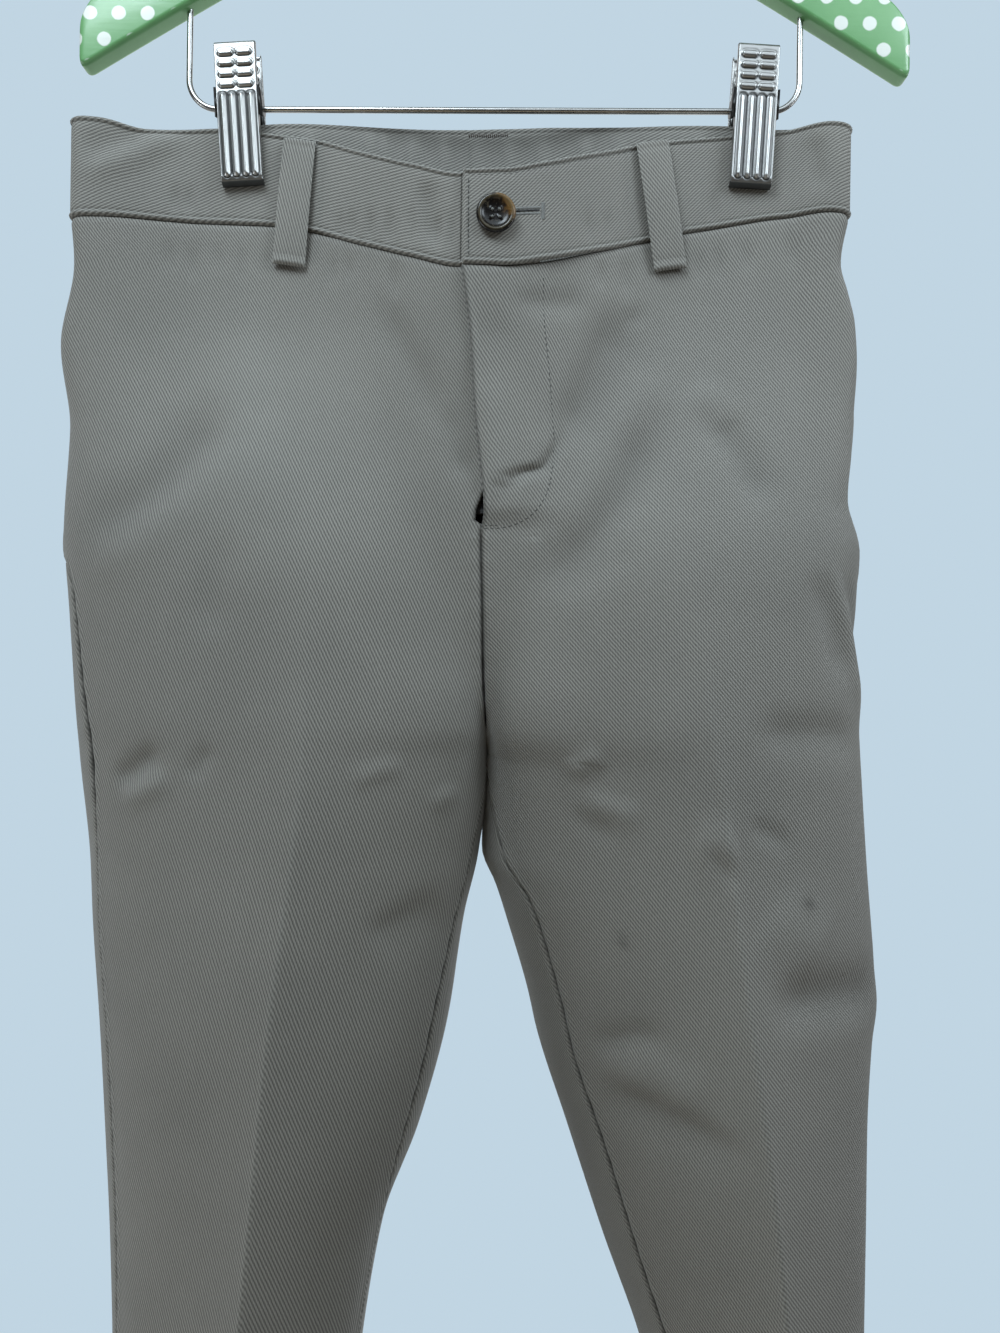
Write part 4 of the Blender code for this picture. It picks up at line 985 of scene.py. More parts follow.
def add_piece(name, points, faces, finish, slot, nodes=(), uv=None, marks=None, smooth=True):
    """Piece of the model: a mesh given in millimetres, with faces turned outwards, that rides on
    the body, stands for its nodes, and carries its UV map and point attributes."""
    mesh = bpy.data.meshes.new(name)
    mesh.from_pydata((np.asarray(points, dtype=float) * MM).tolist(), [],
                     faces.tolist() if isinstance(faces, np.ndarray) else faces)
    mesh.polygons.foreach_set("use_smooth", np.full(len(mesh.polygons), smooth))
    corners = np.zeros(len(mesh.loops), dtype=np.int32)
    mesh.loops.foreach_get("vertex_index", corners)
    if uv is not None:
        layer = mesh.uv_layers.new(name="weave")
        layer.data.foreach_set("uv", np.asarray(uv, dtype=np.float32)[corners].ravel())
    for key, values in (marks or {}).items():
        attribute = mesh.attributes.new(key, "FLOAT", "POINT")
        attribute.data.foreach_set("value", np.asarray(values, dtype=np.float32).ravel())
    turn_faces_out(mesh)
    mesh.materials.append(finish)
    made = bpy.data.objects.new(name, mesh)
    bpy.context.scene.collection.objects.link(made)
    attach(made, "root")
    if nodes:
        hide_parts(*nodes)
    return made


def weave_uv(across, down, angle):
    """UV in centimetres with V along wales at this angle down from the line across."""
    a = math.radians(angle)
    return np.stack((across * math.sin(a) - down * math.cos(a),
                     across * math.cos(a) + down * math.sin(a)), axis=-1) / 10


def shell(name, outer, inner, finish, slot, nodes, weave, painted_light_wear_and_stains=None, round_edge=0.35):
    """Closed wall from two grids. Each row runs along the outer side, over a rounded edge, and
    back along the inner side, and the first and last rows are closed the same way. weave is the
    length across, the length down and the angle of the wales, and the next argument the outer
    side's painted highlights and shade, wear and stains."""
    rows, columns = outer.shape[:2]
    across, down, angle = weave
    uv_out, uv_in = weave_uv(across, down, angle), weave_uv(-across, down, angle)

    def edge(index, step):
        middle = (outer[:, index] + inner[:, index]) / 2
        ahead = unit((outer[:, index] + inner[:, index]) - (outer[:, step] + inner[:, step]))
        thick = np.linalg.norm(outer[:, index] - inner[:, index], axis=-1, keepdims=True)
        return (middle + ahead * thick * round_edge)[:, None]

    points = np.concatenate((outer, edge(-1, -2), inner[:, ::-1], edge(0, 1)), axis=1)
    ring = 2 * columns + 2
    uv = np.concatenate((uv_out, uv_out[:, -1:], uv_in[:, ::-1], uv_out[:, :1]), axis=1)
    faces = lattice(rows, ring, around=True).tolist()
    for first in (0, (rows - 1) * ring):
        faces += [[first + k, first + k + 1, first + ring - 3 - k, first + ring - 2 - k]
                  for k in range(columns - 1)]
        faces.append([first + columns - 1, first + columns, first + columns + 1])
        faces.append([first + ring - 2, first + ring - 1, first])
    marks = {}
    if painted_light_wear_and_stains is not None:
        marks["painted_light_wear_and_stains"] = np.concatenate((painted_light_wear_and_stains, painted_light_wear_and_stains[:, -1:], np.zeros_like(painted_light_wear_and_stains), painted_light_wear_and_stains[:, :1]), axis=1)
    return add_piece(name, points.reshape(-1, 3), faces, finish, slot, nodes, uv.reshape(-1, 2),
                     marks)


def circles(first, second, around):
    """Points of circles of radius 1, each in the plane of two directions."""
    angle = np.linspace(0, 2 * math.pi, around, endpoint=False)[:, None]
    return first[:, None] * np.cos(angle) + second[:, None] * np.sin(angle)


def tube(path, radius, around=12, reference=(0.0, 1.0, 0.0)):
    """Round bar along a path: a circle of each point's radius, square to the path."""
    path = np.asarray(path, dtype=float)
    radius = np.broadcast_to(np.asarray(radius, dtype=float), (len(path),))
    along = unit(np.gradient(path, axis=0))
    first = np.broadcast_to(np.asarray(reference, dtype=float), path.shape)
    first = unit(first - along * np.sum(first * along, axis=-1, keepdims=True))
    second = np.cross(along, first)
    points = path[:, None] + circles(first, second, around) * radius[:, None, None]
    faces = lattice(len(path), around, around=True).tolist()
    faces.append(list(range(around)))
    faces.append(list(range((len(path) - 1) * around, len(path) * around)))
    return points.reshape(-1, 3), faces


def round_ended(path, radius, count=5):
    """Path and radii of a bar whose ends are half balls: circles of the ball, from near its pole
    to its middle."""
    path = np.asarray(path, dtype=float)
    angle = np.linspace(0.12, math.pi / 2, count)[:-1]
    reach, ends = (radius * np.cos(angle))[:, None], radius * np.sin(angle)
    start = path[0] + unit(path[0] - path[1]) * reach
    finish = path[-1] + unit(path[-1] - path[-2]) * reach[::-1]
    return (np.concatenate((start, path, finish)),
            np.concatenate((ends, np.full(len(path), radius), ends[::-1])))


STITCH = table("t thick sink", (
    (-1.0, 0.35, -1.0), (-0.72, 0.85, -0.25), (0.0, 1.0, 0.0), (0.72, 0.85, -0.25), (1.0, 0.35, -1.0)))
STITCH_SIDES = 6


def stitch_row(centres, along, outwards, length, radius):
    """Row of stitches: each is a bar of five rings, thick in the middle and sunk at both ends."""
    along, outwards = unit(along), unit(outwards)
    t, thick, sink = STITCH["t"], STITCH["thick"], STITCH["sink"]
    core = (centres[:, None] + along[:, None] * (t * length / 2)[:, None]
            + outwards[:, None] * (sink * radius)[:, None])
    ring = circles(outwards, np.cross(along, outwards), STITCH_SIDES)
    points = core[:, :, None] + ring[:, None] * (thick * radius)[:, None, None]
    last = (len(t) - 1) * STITCH_SIDES
    one = lattice(len(t), STITCH_SIDES, around=True).tolist()
    one += [list(range(STITCH_SIDES)), list(range(last, last + STITCH_SIDES))]
    return join([(stitch, one) for stitch in points])


# Panels

EDGE_STEPS = np.array((0.0, 0.3, 0.65, 1.1, 1.7, 2.6, 4.0))
FOLD_SCALE = 1.7
TROUGH_SHADE = 0.05
CURL_REACH = 2.1
CURL_DEPTH = 1.1
SEAM_HALF_GAP = 0.03
SEAM_WAVE = 0.16
SEAM_RIDGE = 0.45
RIDGE_FROM_EDGE = 2.6
MOUTH_GAPE = 0.5
PANEL_ROWS = np.concatenate((
    (40.06, 40.4, 41.0, 42.0, 43.5), np.arange(46, 124, 3.0), np.arange(124, 170, 0.9),
    np.arange(170, 252, 3.0), np.arange(252, 282, 2.0),
    np.arange(282, 520, 3.2), np.arange(520, 884, 4.8), (885.5, 888, 890, 891.5, 892.5, HEM_DROP)))
FRONT_COLUMNS = 46
BACK_COLUMNS = 34


def half_gap(rows):
    """Half of the gap at a seam, a little wider where four seams meet at the crotch."""
    return SEAM_HALF_GAP + CROTCH_EASE * bell(rows - CROTCH_DROP - 4, 10)


def columns_between(side, rows, start, middle, end, count):
    """Places of a panel's columns: close together at both edges and at the crease."""
    ahead = EDGE_STEPS / speed(side, start, rows)[:, None]
    behind = EDGE_STEPS[::-1] / speed(side, end, rows)[:, None]
    first, last = start[:, None] + ahead, end[:, None] - behind
    ease = np.linspace(0, 1, count)
    ease = ease + 0.10 * np.sin(math.pi * ease)
    inner = first[:, -1:] + (middle[:, None] - first[:, -1:]) * ease
    outer = middle[:, None] + (last[:, :1] - middle[:, None]) * (1 - ease[::-1])
    return np.concatenate((first[:, :-1], inner, outer[:, 1:], last[:, 1:]), axis=1)


def front_ends(side, rows):
    """Places where a front panel starts, at the fly or inseam, and ends, at the side seam."""
    side_seam, inseam = seam_places(side, rows)
    drops = centre_drop(rows)
    start = inseam + half_gap(rows) / speed(side, inseam, rows)
    if side == "right":
        lap = read(CENTRE_LINE, "drop", "lap", drops)
        fly = drops < FLY_END + 2
        lapped = -lap / speed(side, np.where(lap > 0, -0.01, 0.01), rows)
        start = np.where(fly, lapped, start)
    start = np.where((rows < CROTCH_DROP) & (side == "left"), 0, start)
    end = side_seam - half_gap(rows) / speed(side, side_seam, rows)
    return start, end


def back_ends(side, rows):
    """Places where a back panel starts, at the side seam, and ends, at the back seam or inseam."""
    side_seam, inseam = seam_places(side, rows)
    start = np.where(rows < MOUTH_END, 2.0, side_seam)
    start = start + half_gap(rows) / speed(side, start, rows)
    foot = np.where(rows < CROTCH_DROP, 4.0, 4 + inseam)
    end = foot - np.where(rows < CROTCH_DROP, 0, half_gap(rows) / speed(side, foot, rows))
    return start, end


def curl(distance, amount):
    """How far an edge turns in: a parabola over the last CURL_REACH millimetres."""
    left = np.clip(1 - distance / CURL_REACH, 0, 1)
    return CURL_DEPTH * amount * left * left


def panel_relief(x, drop, q, front):
    """Depth of a panel's folds and hollows, faded out at the folds of the leg."""
    folds = FRONT_FOLDS if front else BACK_FOLDS
    if front:
        face = smooth_step(-0.01, 0.03, q) * (1 - smooth_step(1.9, 2.0, q))
        wave_face = smooth_step(0.02, 0.3, q) * (1 - smooth_step(1.75, 1.98, q))
    else:
        face = smooth_step(2.0, 2.1, q) * (1 - smooth_step(3.97, 4.0, q))
        wave_face = smooth_step(2.02, 2.25, q) * (1 - smooth_step(3.7, 3.98, q))
    waves = unevenness(x, drop, 0.6 if front else 2.9) * smooth_step(60, 120, drop)
    return FOLD_SCALE * fold_depth(folds, x, drop) * face + waves * wave_face


def panel_surface(side, q, row, front=True):
    """Point of the middle of a panel's wall with its folds, and the left one's lift at the fly."""
    base = panel_base(side, q, row)
    normal = outward(panel_base, side, q, row)
    drop = BAR_Z - base[..., 2]
    middle = base - normal * panel_relief(base[..., 0], drop, q, front)[..., None]
    if side == "left" and front:
        middle[..., 1] -= fly_lift(base[..., 0], drop, PANEL_LIFT, PANEL_LAP)
    return middle, normal


def along_rows(middle):
    """Length of cloth along each row of a grid, from its first column."""
    steps = np.linalg.norm(np.diff(middle, axis=1), axis=-1)
    return np.concatenate((np.zeros((len(middle), 1)), np.cumsum(steps, axis=1)), axis=1)


def add_panel(side, front):
    """Front or back panel: a wall on a fine grid, with its edges turned in at the seams."""
    rows = PANEL_ROWS
    start, end = (front_ends if front else back_ends)(side, rows)
    middle_place = np.full(rows.shape, 1.0 if front else 3.0)
    count = FRONT_COLUMNS if front else BACK_COLUMNS
    q = columns_between(side, rows, start, middle_place, end, count)
    row = np.broadcast_to(rows[:, None], q.shape)
    middle, normal = panel_surface(side, q, row, front)
    drop = BAR_Z - middle[..., 2]

    across = along_rows(middle)
    from_start, from_end = across, across[:, -1:] - across
    crease = len(EDGE_STEPS) - 1 + count - 1
    from_crease = across - across[:, crease:crease + 1]

    below_mouth = smooth_step(MOUTH_END - 2, MOUTH_END + 3, row)
    if front:
        at_start, at_end = smooth_step(FLY_END, FLY_END + 4, drop[:, :1]), below_mouth
        open_mouth = (1 - below_mouth) * smooth_step(46, 70, row)
    else:
        at_start, at_end = below_mouth, np.ones_like(row)
        open_mouth = np.zeros_like(row)
    turned = curl(from_start, at_start) + curl(from_end, at_end) + curl(row - rows[0], 1.0)
    turned = turned + curl(HEM_DROP - row, 0.7)
    pucker = (seam_pucker(from_start, row, SEAM_WAVE) * at_start
              + seam_pucker(from_end, row + 5, SEAM_WAVE) * at_end)
    gape = MOUTH_GAPE * bell(from_end, 5.0) * open_mouth
    ridge = SEAM_RIDGE * front * (bell(from_start - RIDGE_FROM_EDGE, 1.0) * at_start
                                  + bell(from_end - RIDGE_FROM_EDGE, 1.0) * at_end)
    middle = middle + normal * (pucker + gape + ridge - turned)[..., None]

    face = grid_normals(middle, normal)
    outer, inner = middle + face * CLOTH_WALL / 2, middle - face * CLOTH_WALL / 2
    angle = WALE_ANGLE[side if front else other(side)]
    painted_light_wear_and_stains = panel_rub(middle[..., 0], drop, row, from_start, from_end, from_crease, at_start, at_end,
                    front)
    # Painted shade in the troughs of the folds and painted highlight on their ridges, by their depth
    painted_light_wear_and_stains = painted_light_wear_and_stains - TROUGH_SHADE * panel_relief(middle[..., 0], drop, q, front)
    name = ("front_" if front else "back_") + side
    made = shell("trouser_" + name, outer, inner, TWILL, "twill", (name,),
                 (OUT[side] * from_crease, drop, angle), painted_light_wear_and_stains)


def panel_rub(x, drop, row, from_start, from_end, from_crease, at_start, at_end, front):
    """Painted highlights along the pressed crease and beside the seams, painted shade along the
    panel's edges at the seams and the fly, a lighter worn line at the hem, and stains in small
    spots.
    """
    # Painted highlight: a light line along the pressed crease
    pressed = 0.14 * bell(from_crease, 1.0) * smooth_step(200, 330, row)
    # Painted highlight on the seams' ridges
    seams = 0.05 * (bell(from_start - 1.9, 0.8) + bell(from_end - 1.9, 0.8))
    # Painted shade along the panel's edges at the seams; the first edge gets half of it where it is no
    # seam, as at the fly
    seam_shade = bell(from_start, 0.85) * (0.5 + 0.5 * at_start) + bell(from_end, 0.85) * at_end
    hem = 0.08 * bell(HEM_DROP - row - 1.5, 1.5)
    spots = np.zeros_like(x)
    for spot_x, spot_drop, size in STAINS if front else ():
        spots = spots + 0.5 * bell(np.hypot(x - spot_x, drop - spot_drop), size)
    return pressed + seams + hem - seam_shade - spots


# Waistband

BAND_SPACING = 0.42
ROPE_PITCH = 1.25
BAND_TROUGH_SHADE = 1.5 * TROUGH_SHADE
# Height from the band's edge, and how far its faces stand from the middle
BAND_TOP = table("height stand", (
    (0.0, 0.30), (0.15, 0.80), (0.45, 1.18), (0.95, 1.45), (1.45, 1.22), (1.85, 0.72), (2.4, 0.86),
    (3.2, 1.0)))
BAND_FOOT = table("height stand", (
    (3.4, 1.0), (2.7, 0.95), (2.25, 0.72), (1.8, 1.08), (1.2, 1.38), (0.65, 1.15), (0.2, 0.65),
    (0.0, 0.2)))


def band_profile(height):
    """Heights down the band, the stand-off of its outer and inner face, and how much of it is a
    bead. The inner face has no bead of its own."""
    flat = np.linspace(BAND_TOP["height"][-1], height - BAND_FOOT["height"][0], 12)[1:-1]
    heights = np.concatenate((BAND_TOP["height"], flat, height - BAND_FOOT["height"]))
    stand = np.concatenate((BAND_TOP["stand"], np.ones(len(flat)), BAND_FOOT["stand"]))
    bead = bell(heights - 0.95, 0.55) + bell(height - heights - 1.2, 0.6)
    return heights, stand, np.minimum(stand, 1.0), bead


def band_wall(name, runs, nodes, angle, face="front", lapped=False):
    """Waistband: its profile, with a bead at the top edge and one along the seam, carried round
    the ring. Both beads are ribbed slantwise, as the turned twill shows. runs lists pairs of a
    side and its places, in order, and a lapped band stands off at the fly, where it is edged."""
    ends = np.array(((0.0,), (1.0,)))
    top, foot = np.concatenate([band_base(side, places[None], ends) for side, places in runs], axis=1)
    plan = top * (1, 1, 0)
    along = np.concatenate(([0], np.cumsum(np.linalg.norm(np.diff(plan, axis=0), axis=1))))
    tangent = unit(np.gradient(plan, axis=0))
    outwards = np.sign(top[-1, 0] - top[0, 0]) * (1 if face == "front" else -1)
    normal = np.stack((tangent[:, 1], -tangent[:, 0], 0 * tangent[:, 0]), axis=-1) * outwards
    height = float(np.mean(top[:, 2] - foot[:, 2]))
    down, stand, inner, bead = (values[:, None] for values in band_profile(height))
    up = height - down
    middle = top + (foot - top) * (down / height)[..., None]
    x, drop = middle[..., 0], BAR_Z - middle[..., 2]
    still = smooth_step(0.0, 4.0, down) * smooth_step(0.0, 4.0, up)
    off_clips = 1 - np.exp(-((np.abs(x) - CLIP_MEAN_X) / CLIP_STILL) ** 4)
    relief = fold_depth(BAND_FOLDS[face], x, drop) * (0.5 + 0.9 * still) * off_clips
    middle = middle - normal * relief[..., None]
    rib = np.sin(2 * math.pi * (along / ROPE_PITCH - down / 1.9))
    stand_out = stand + bead * 0.16 * rib
    stand_in = inner + bead * 0.10 * rib * (down < 4)
    if lapped:
        middle[..., 1] -= lap_lift(x)
        thin = np.sqrt(np.clip(along / 0.9, 0.04, 1))
        rolled = 0.30 * bell(along - 1.1, 0.6) - 0.22 * bell(along - 2.3, 0.45)
        stand_out, stand_in = (stand_out + rolled) * thin, stand_in * thin
    # Painted highlights on the crests of the top bead and the seam bead, painted shade along the seam
    # at the band's foot and in the grooves beside the beads, and painted shade and highlight by the
    # ripples' depth
    painted_light_wear_and_stains = 0.10 * bell(down - 0.9, 0.5) + 0.12 * bell(up - 1.2, 0.5) - 0.18 * bell(up, 0.35)
    painted_light_wear_and_stains = painted_light_wear_and_stains - 0.14 * bell(up - 2.3, 0.3) - 0.30 * bell(down - 1.9, 0.3)
    painted_light_wear_and_stains = painted_light_wear_and_stains - BAND_TROUGH_SHADE * relief
    made = shell(name, middle + normal * stand_out[..., None], middle - normal * stand_in[..., None],
                 TWILL, "twill", nodes, (along * outwards, down, angle), painted_light_wear_and_stains, round_edge=0.2)


def even_places(side, first, last):
    """Places between two, spread evenly along the ring at the bands' spacing."""
    rough = np.linspace(first, last, 400)
    ring = band_base(side, rough, np.zeros(rough.shape))
    steps = np.linalg.norm(np.diff(ring * (1, 1, 0), axis=0), axis=1)
    length = np.concatenate(([0], np.cumsum(steps)))
    count = int(length[-1] / BAND_SPACING) + 2
    return np.interp(np.linspace(0, length[-1], count), length, rough)


def add_bands():
    """The two front waistbands, the left one lapping over the right, and the back one."""
    rows = np.array([WAIST_ROW + 0.35])
    reach = -place_of("left", np.array([WAIST_ROW]), LEG_CENTRE_X + BAND_UNDERLAP)[0]
    ends = {side: front_ends(side, rows)[1][0] for side in OUT}
    band_wall("waistband_right", [("right", even_places("right", reach, ends["right"]))],
              ("waistband_front_right",), BAND_ANGLE["right"])
    band_wall("waistband_left", [("left", even_places("left", 0.0, ends["left"]))],
              ("waistband_front_left",), BAND_ANGLE["left"], lapped=True)
    right = even_places("right", back_ends("right", rows)[0][0], 4.0)
    left = even_places("left", 4.0, back_ends("left", rows)[0][0])
    band_wall("waistband_rear", [("right", right), ("left", left[1:])], ("waistband_back",),
              BAND_ANGLE["right"], face="back")


# Belt loops


def add_belt_loop(name, face, top_x, top_drop, foot_x, foot_drop):
    """Strap from the band's top edge to below its seam: a flat oval section carried down the
    line, standing off in an arch, with a thick turned-under end at the foot."""
    front = face == "front"
    outwards = -1 if front else 1
    side = "right" if top_x < LEG_CENTRE_X else "left"
    part = np.unique(np.concatenate([np.linspace(*section_run) for section_run in LOOP_SECTIONS]))
    x = top_x + (foot_x - top_x) * part
    drop = top_drop + (foot_drop - top_drop) * part
    row = WAIST_ROW + np.maximum(drop - read(WAIST, "x", face + "_bottom", x), 0)
    arch = LOOP_PROUD * np.sin(math.pi * part) ** 0.7
    proud = (BAND_WALL + LOOP_WALL) / 2 + LOOP_CLEAR + arch
    across = np.sin(np.linspace(-math.pi / 2, math.pi / 2, 21)) * LOOP_WIDTH / 2
    grid_x = x[:, None] + across
    first_y, centre_y, last_y = [section(side, place_of(side, row, x + step, front), row)[1]
                                 for step in (-LOOP_WIDTH / 2, 0.0, LOOP_WIDTH / 2)]
    lean = (last_y - first_y) / LOOP_WIDTH
    y = centre_y[:, None] + lean[:, None] * across + outwards * proud[:, None]
    edge = read(WAIST, "x", face + "_top", grid_x) - read(WAIST, "x", face + "_top", x)[:, None]
    middle = np.stack((grid_x, y, BAR_Z - drop[:, None] - edge), axis=-1)
    inside = np.abs(across / (LOOP_WIDTH / 2))
    length = foot_drop - top_drop
    from_top, from_foot = part[:, None] * length, (1 - part[:, None]) * length
    ends = np.sqrt(np.clip(np.minimum(from_top, from_foot) / 0.8, 0.03, 1))
    half = LOOP_WALL / 2 * np.sqrt(np.clip(1 - inside ** 5, 0.02, 1)) * ends
    roll = 0.35 * bell(from_foot - 1.4, 1.0) - 0.18 * bell(from_foot - 4.2, 0.7)
    dent = 0.25 * bell(from_top - 3.0, 0.8)
    fold_line = 0.10 * bell(inside - 0.86, 0.07)
    stand = half + (roll - dent) * (half > 0.3) - fold_line * (ends > 0.9)
    outer = middle + np.array((0, outwards, 0)) * stand[..., None]
    inner = middle - np.array((0, outwards, 0)) * half[..., None]
    # Lighter worn folded edges and foot, and painted shade in the dent above the foot
    painted_light_wear_and_stains = 0.14 * bell(inside - 0.95, 0.05) + 0.16 * bell(from_foot - 0.8, 0.8)
    painted_light_wear_and_stains = painted_light_wear_and_stains - 0.12 * bell(from_foot - 4.2, 0.4)
    weave = (-outwards * (grid_x - x[:, None]), drop[:, None], WALE_ANGLE[side] + LOOP_TURN[side])
    made = shell("loop_" + name[len("belt_loop_"):], outer, inner, TWILL, "twill", (name,), weave,
                 painted_light_wear_and_stains, round_edge=0.1)


# Pockets and fly


def add_facing(side):
    """Facing behind the pocket mouth, round the inside of the outer fold."""
    rows = np.concatenate((np.arange(40.6, MOUTH_END - 1, 3.0), [MOUTH_END - 0.5]))
    out = OUT[side]
    fold_x = section(side, np.full(rows.shape, 2.0), rows)[0]
    seam_out = read(LEGS[side], "drop", "seam_out", rows)
    start = place_of(side, rows, fold_x - out * (seam_out + FACING_REACH))
    end = place_of(side, rows, fold_x - out * FACING_REACH, front=False)
    q = start[:, None] + (end - start)[:, None] * np.linspace(0, 1, 27)
    row = np.broadcast_to(rows[:, None], q.shape)
    normal = outward(panel_base, side, q, row)
    middle = panel_base(side, q, row) - normal * (CLOTH_WALL + 3 * LAYER_GAP)
    drop = BAR_Z - middle[..., 2]
    across = along_rows(middle)
    half = CLOTH_WALL / 2
    # Its outer side carries painted shade all over, darker than the panels
    made = shell("facing_" + side, middle + normal * half, middle - normal * half, TWILL, "twill",
                 ("pocket_facing_" + side,), (out * across, drop, WALE_ANGLE[side]),
                 np.full(drop.shape, FACING_SHADE))


ZIP_FROM = -6.0
ZIP_TO = 14.0
ZIP_TOP_ROW = 41.0
ZIP_END_ROW = 157.0
COIL_STEPS = 700


def add_zip():
    """Zip tape behind both edges of the fly, with a coil of teeth and a stop at its foot."""
    rows = np.linspace(ZIP_TOP_ROW, ZIP_END_ROW, 60)
    start = -ZIP_FROM / speed("right", np.full(rows.shape, 0.02), rows)
    end = -ZIP_TO / speed("right", np.full(rows.shape, -0.02), rows)
    q = start[:, None] + (end - start)[:, None] * np.linspace(0, 1, 21)
    row = np.broadcast_to(rows[:, None], q.shape)
    normal = outward(panel_base, "right", q, row)
    inset = (CLOTH_WALL + TAPE_WALL) / 2 + 3 * LAYER_GAP
    middle = panel_base("right", q, row) - normal * inset
    drop = BAR_Z - middle[..., 2]
    across = np.linspace(ZIP_FROM, ZIP_TO, 21)
    made = shell("zip_tape", middle + normal * TAPE_WALL / 2, middle - normal * TAPE_WALL / 2, TAPE,
                 "tape", ("fly_zip",), (across, drop, 45.0))
    line = middle[:, 6] + normal[:, 6] * (TAPE_WALL / 2 + 0.25)
    fine = curve_through(line, COIL_STEPS)
    pulse = 0.45 + 0.16 * np.sign(np.sin(np.arange(COIL_STEPS) * math.pi / 2.5))
    stop = curve_through(line[-3:], 6) + np.array((0, -0.2, 0))
    parts = [tube(fine, pulse, around=8), tube(stop[2:], 1.1, around=10)]
    add_piece("zip_teeth", *join(parts), TAPE, "tape", smooth=False)


ROW_PASSES = 14


def row_at(x, drop):
    """Row of a front panel's grid that has this drop at this x, by repeated correction."""
    edge = read(WAIST, "x", "front_bottom", x)
    row = np.asarray(drop, dtype=float)
    for _ in range(ROW_PASSES):
        row = drop - (edge - WAIST_ROW) * sag_fade(row)
    return np.maximum(row, WAIST_ROW)


def on_front(x, drop):
    """Outer surface of the left front panel and its normal at x and drop."""
    x, drop = paired(x, drop)
    row = row_at(x, drop)
    middle, normal = panel_surface("left", place_of("left", row, x), row)
    return middle + normal * CLOTH_WALL / 2, normal


def facing_front(x, y, drop):
    """Points at these places, and a normal that points to the front for each."""
    points = np.stack((x, y, BAR_Z - drop), axis=-1)
    return points, np.broadcast_to(np.array((0.0, -1.0, 0.0)), points.shape)


def on_band(x, drop):
    """Outer surface of the front waistband where it laps, and its normal."""
    x, drop = paired(x, drop)
    q = place_of("left", WAIST_ROW, x)
    y = band_base("left", q, 0.5)[..., 1] - lap_lift(x) - BAND_WALL / 2
    y = y + fold_depth(BAND_FOLDS["front"], x, drop)
    return facing_front(x, y, drop)


def in_back_band(x, drop):
    """Inner surface of the back waistband near its middle, and its normal."""
    y = np.zeros(x.shape)
    for side, there in (("right", x < LEG_CENTRE_X), ("left", x >= LEG_CENTRE_X)):
        q = place_of(side, WAIST_ROW, x, front=False)
        y = np.where(there, band_base(side, q, 0.1)[..., 1], y)
    y = y - 1.4 * fold_depth(BAND_FOLDS["back"], x, drop) - BAND_WALL / 2
    return facing_front(x, y, drop)


def stitches_along(surface, line, step, length, radius, sink=0.1):
    """Stitches at even steps along a line of x and drop on a surface."""
    line = np.asarray(line, dtype=float)
    total = float(np.sum(np.linalg.norm(np.diff(line, axis=0), axis=1)))
    count = max(int(total / step), 1)
    fine = curve_through(line, 2 * count + 1)
    points, normals = surface(fine[:, 0], fine[:, 1])
    centres, outwards = points[1::2], normals[1::2]
    along = points[2::2] - points[:-1:2]
    return stitch_row(centres - outwards * sink, along, outwards, length, radius)


def satin(surface, start, end, width, pitch, radius):
    """Close-set stitches side by side across a line."""
    start, end = np.asarray(start, dtype=float), np.asarray(end, dtype=float)
    length = float(np.linalg.norm(end - start))
    count = max(int(length / pitch), 2)
    line = start + (end - start) * np.linspace(0, 1, count)[:, None]
    along = (end - start) / length
    side_step = np.array((-along[1], along[0]))
    points, normals = surface(line[:, 0], line[:, 1])
    across = np.tile(np.array((side_step[0], 0.0, -side_step[1])), (count, 1))
    return stitch_row(points + normals * radius * 0.35, across, normals, width, radius)


def add_stitching():
    """Topstitching of the fly and the waistband, the rear loop's bar tack, the buttonhole, and a
    black bar of painted shade in its slit.
    """
    path = np.stack((J_STITCH["x"], J_STITCH["drop"]), axis=-1)
    parts = [stitches_along(on_front, path, STITCH_STEP, 1.7, 0.22, 0.06),
             stitches_along(on_front, FLY_TACK, 1.6, 1.3, 0.22, 0.04)]
    add_piece("fly_topstitching", *join(parts), SHADED_THREAD, "twill")

    parts = [stitches_along(on_band, LAP_STITCH, 2.1, 1.6, 0.22, 0.05)]
    top_x, foot_x = np.linspace(-8.5, 56, 16), np.linspace(-8.0, 58, 16)
    top = np.stack((top_x, read(WAIST, "x", "front_top", top_x) + 2.7), axis=-1)
    foot = np.stack((foot_x, read(WAIST, "x", "front_bottom", foot_x) - 3.0), axis=-1)
    parts.append(stitches_along(on_band, top, 2.4, 1.7, 0.17, 0.12))
    parts.append(stitches_along(on_band, foot, 2.4, 1.6, 0.15, 0.12))
    add_piece("waistband_topstitching", *join(parts), SHADED_THREAD, "twill")

    tack = satin(in_back_band, *REAR_TACK, 1.7, 0.8, 0.24)
    add_piece("rear_loop_bar_tack", *tack, BROWN_THREAD, "twill")

    (ax, ad), (bx, bd) = BUTTONHOLE
    parts = [satin(on_band, (ax - 1, ad + offset), (bx - 1.6, bd + offset), 1.15, 0.30, 0.19)
             for offset in (-1.1, 1.1)]
    parts.append(satin(on_band, (bx - 0.6, bd - 3.0), (bx - 0.6, bd + 3.2), 2.0, 0.30, 0.20))
    add_piece("buttonhole_stitching", *join(parts), PALE_THREAD, "twill")
    # Painted shade: a black bar down the middle of the slit
    line = np.linspace((ax - 1, ad), (bx - 1.8, bd), 8)
    place, normal = on_band(line[:, 0], line[:, 1])
    add_piece("buttonhole_slit_shade", *tube(place - normal * 0.1, 0.42, around=8), TAPE, "twill")


# Waist button

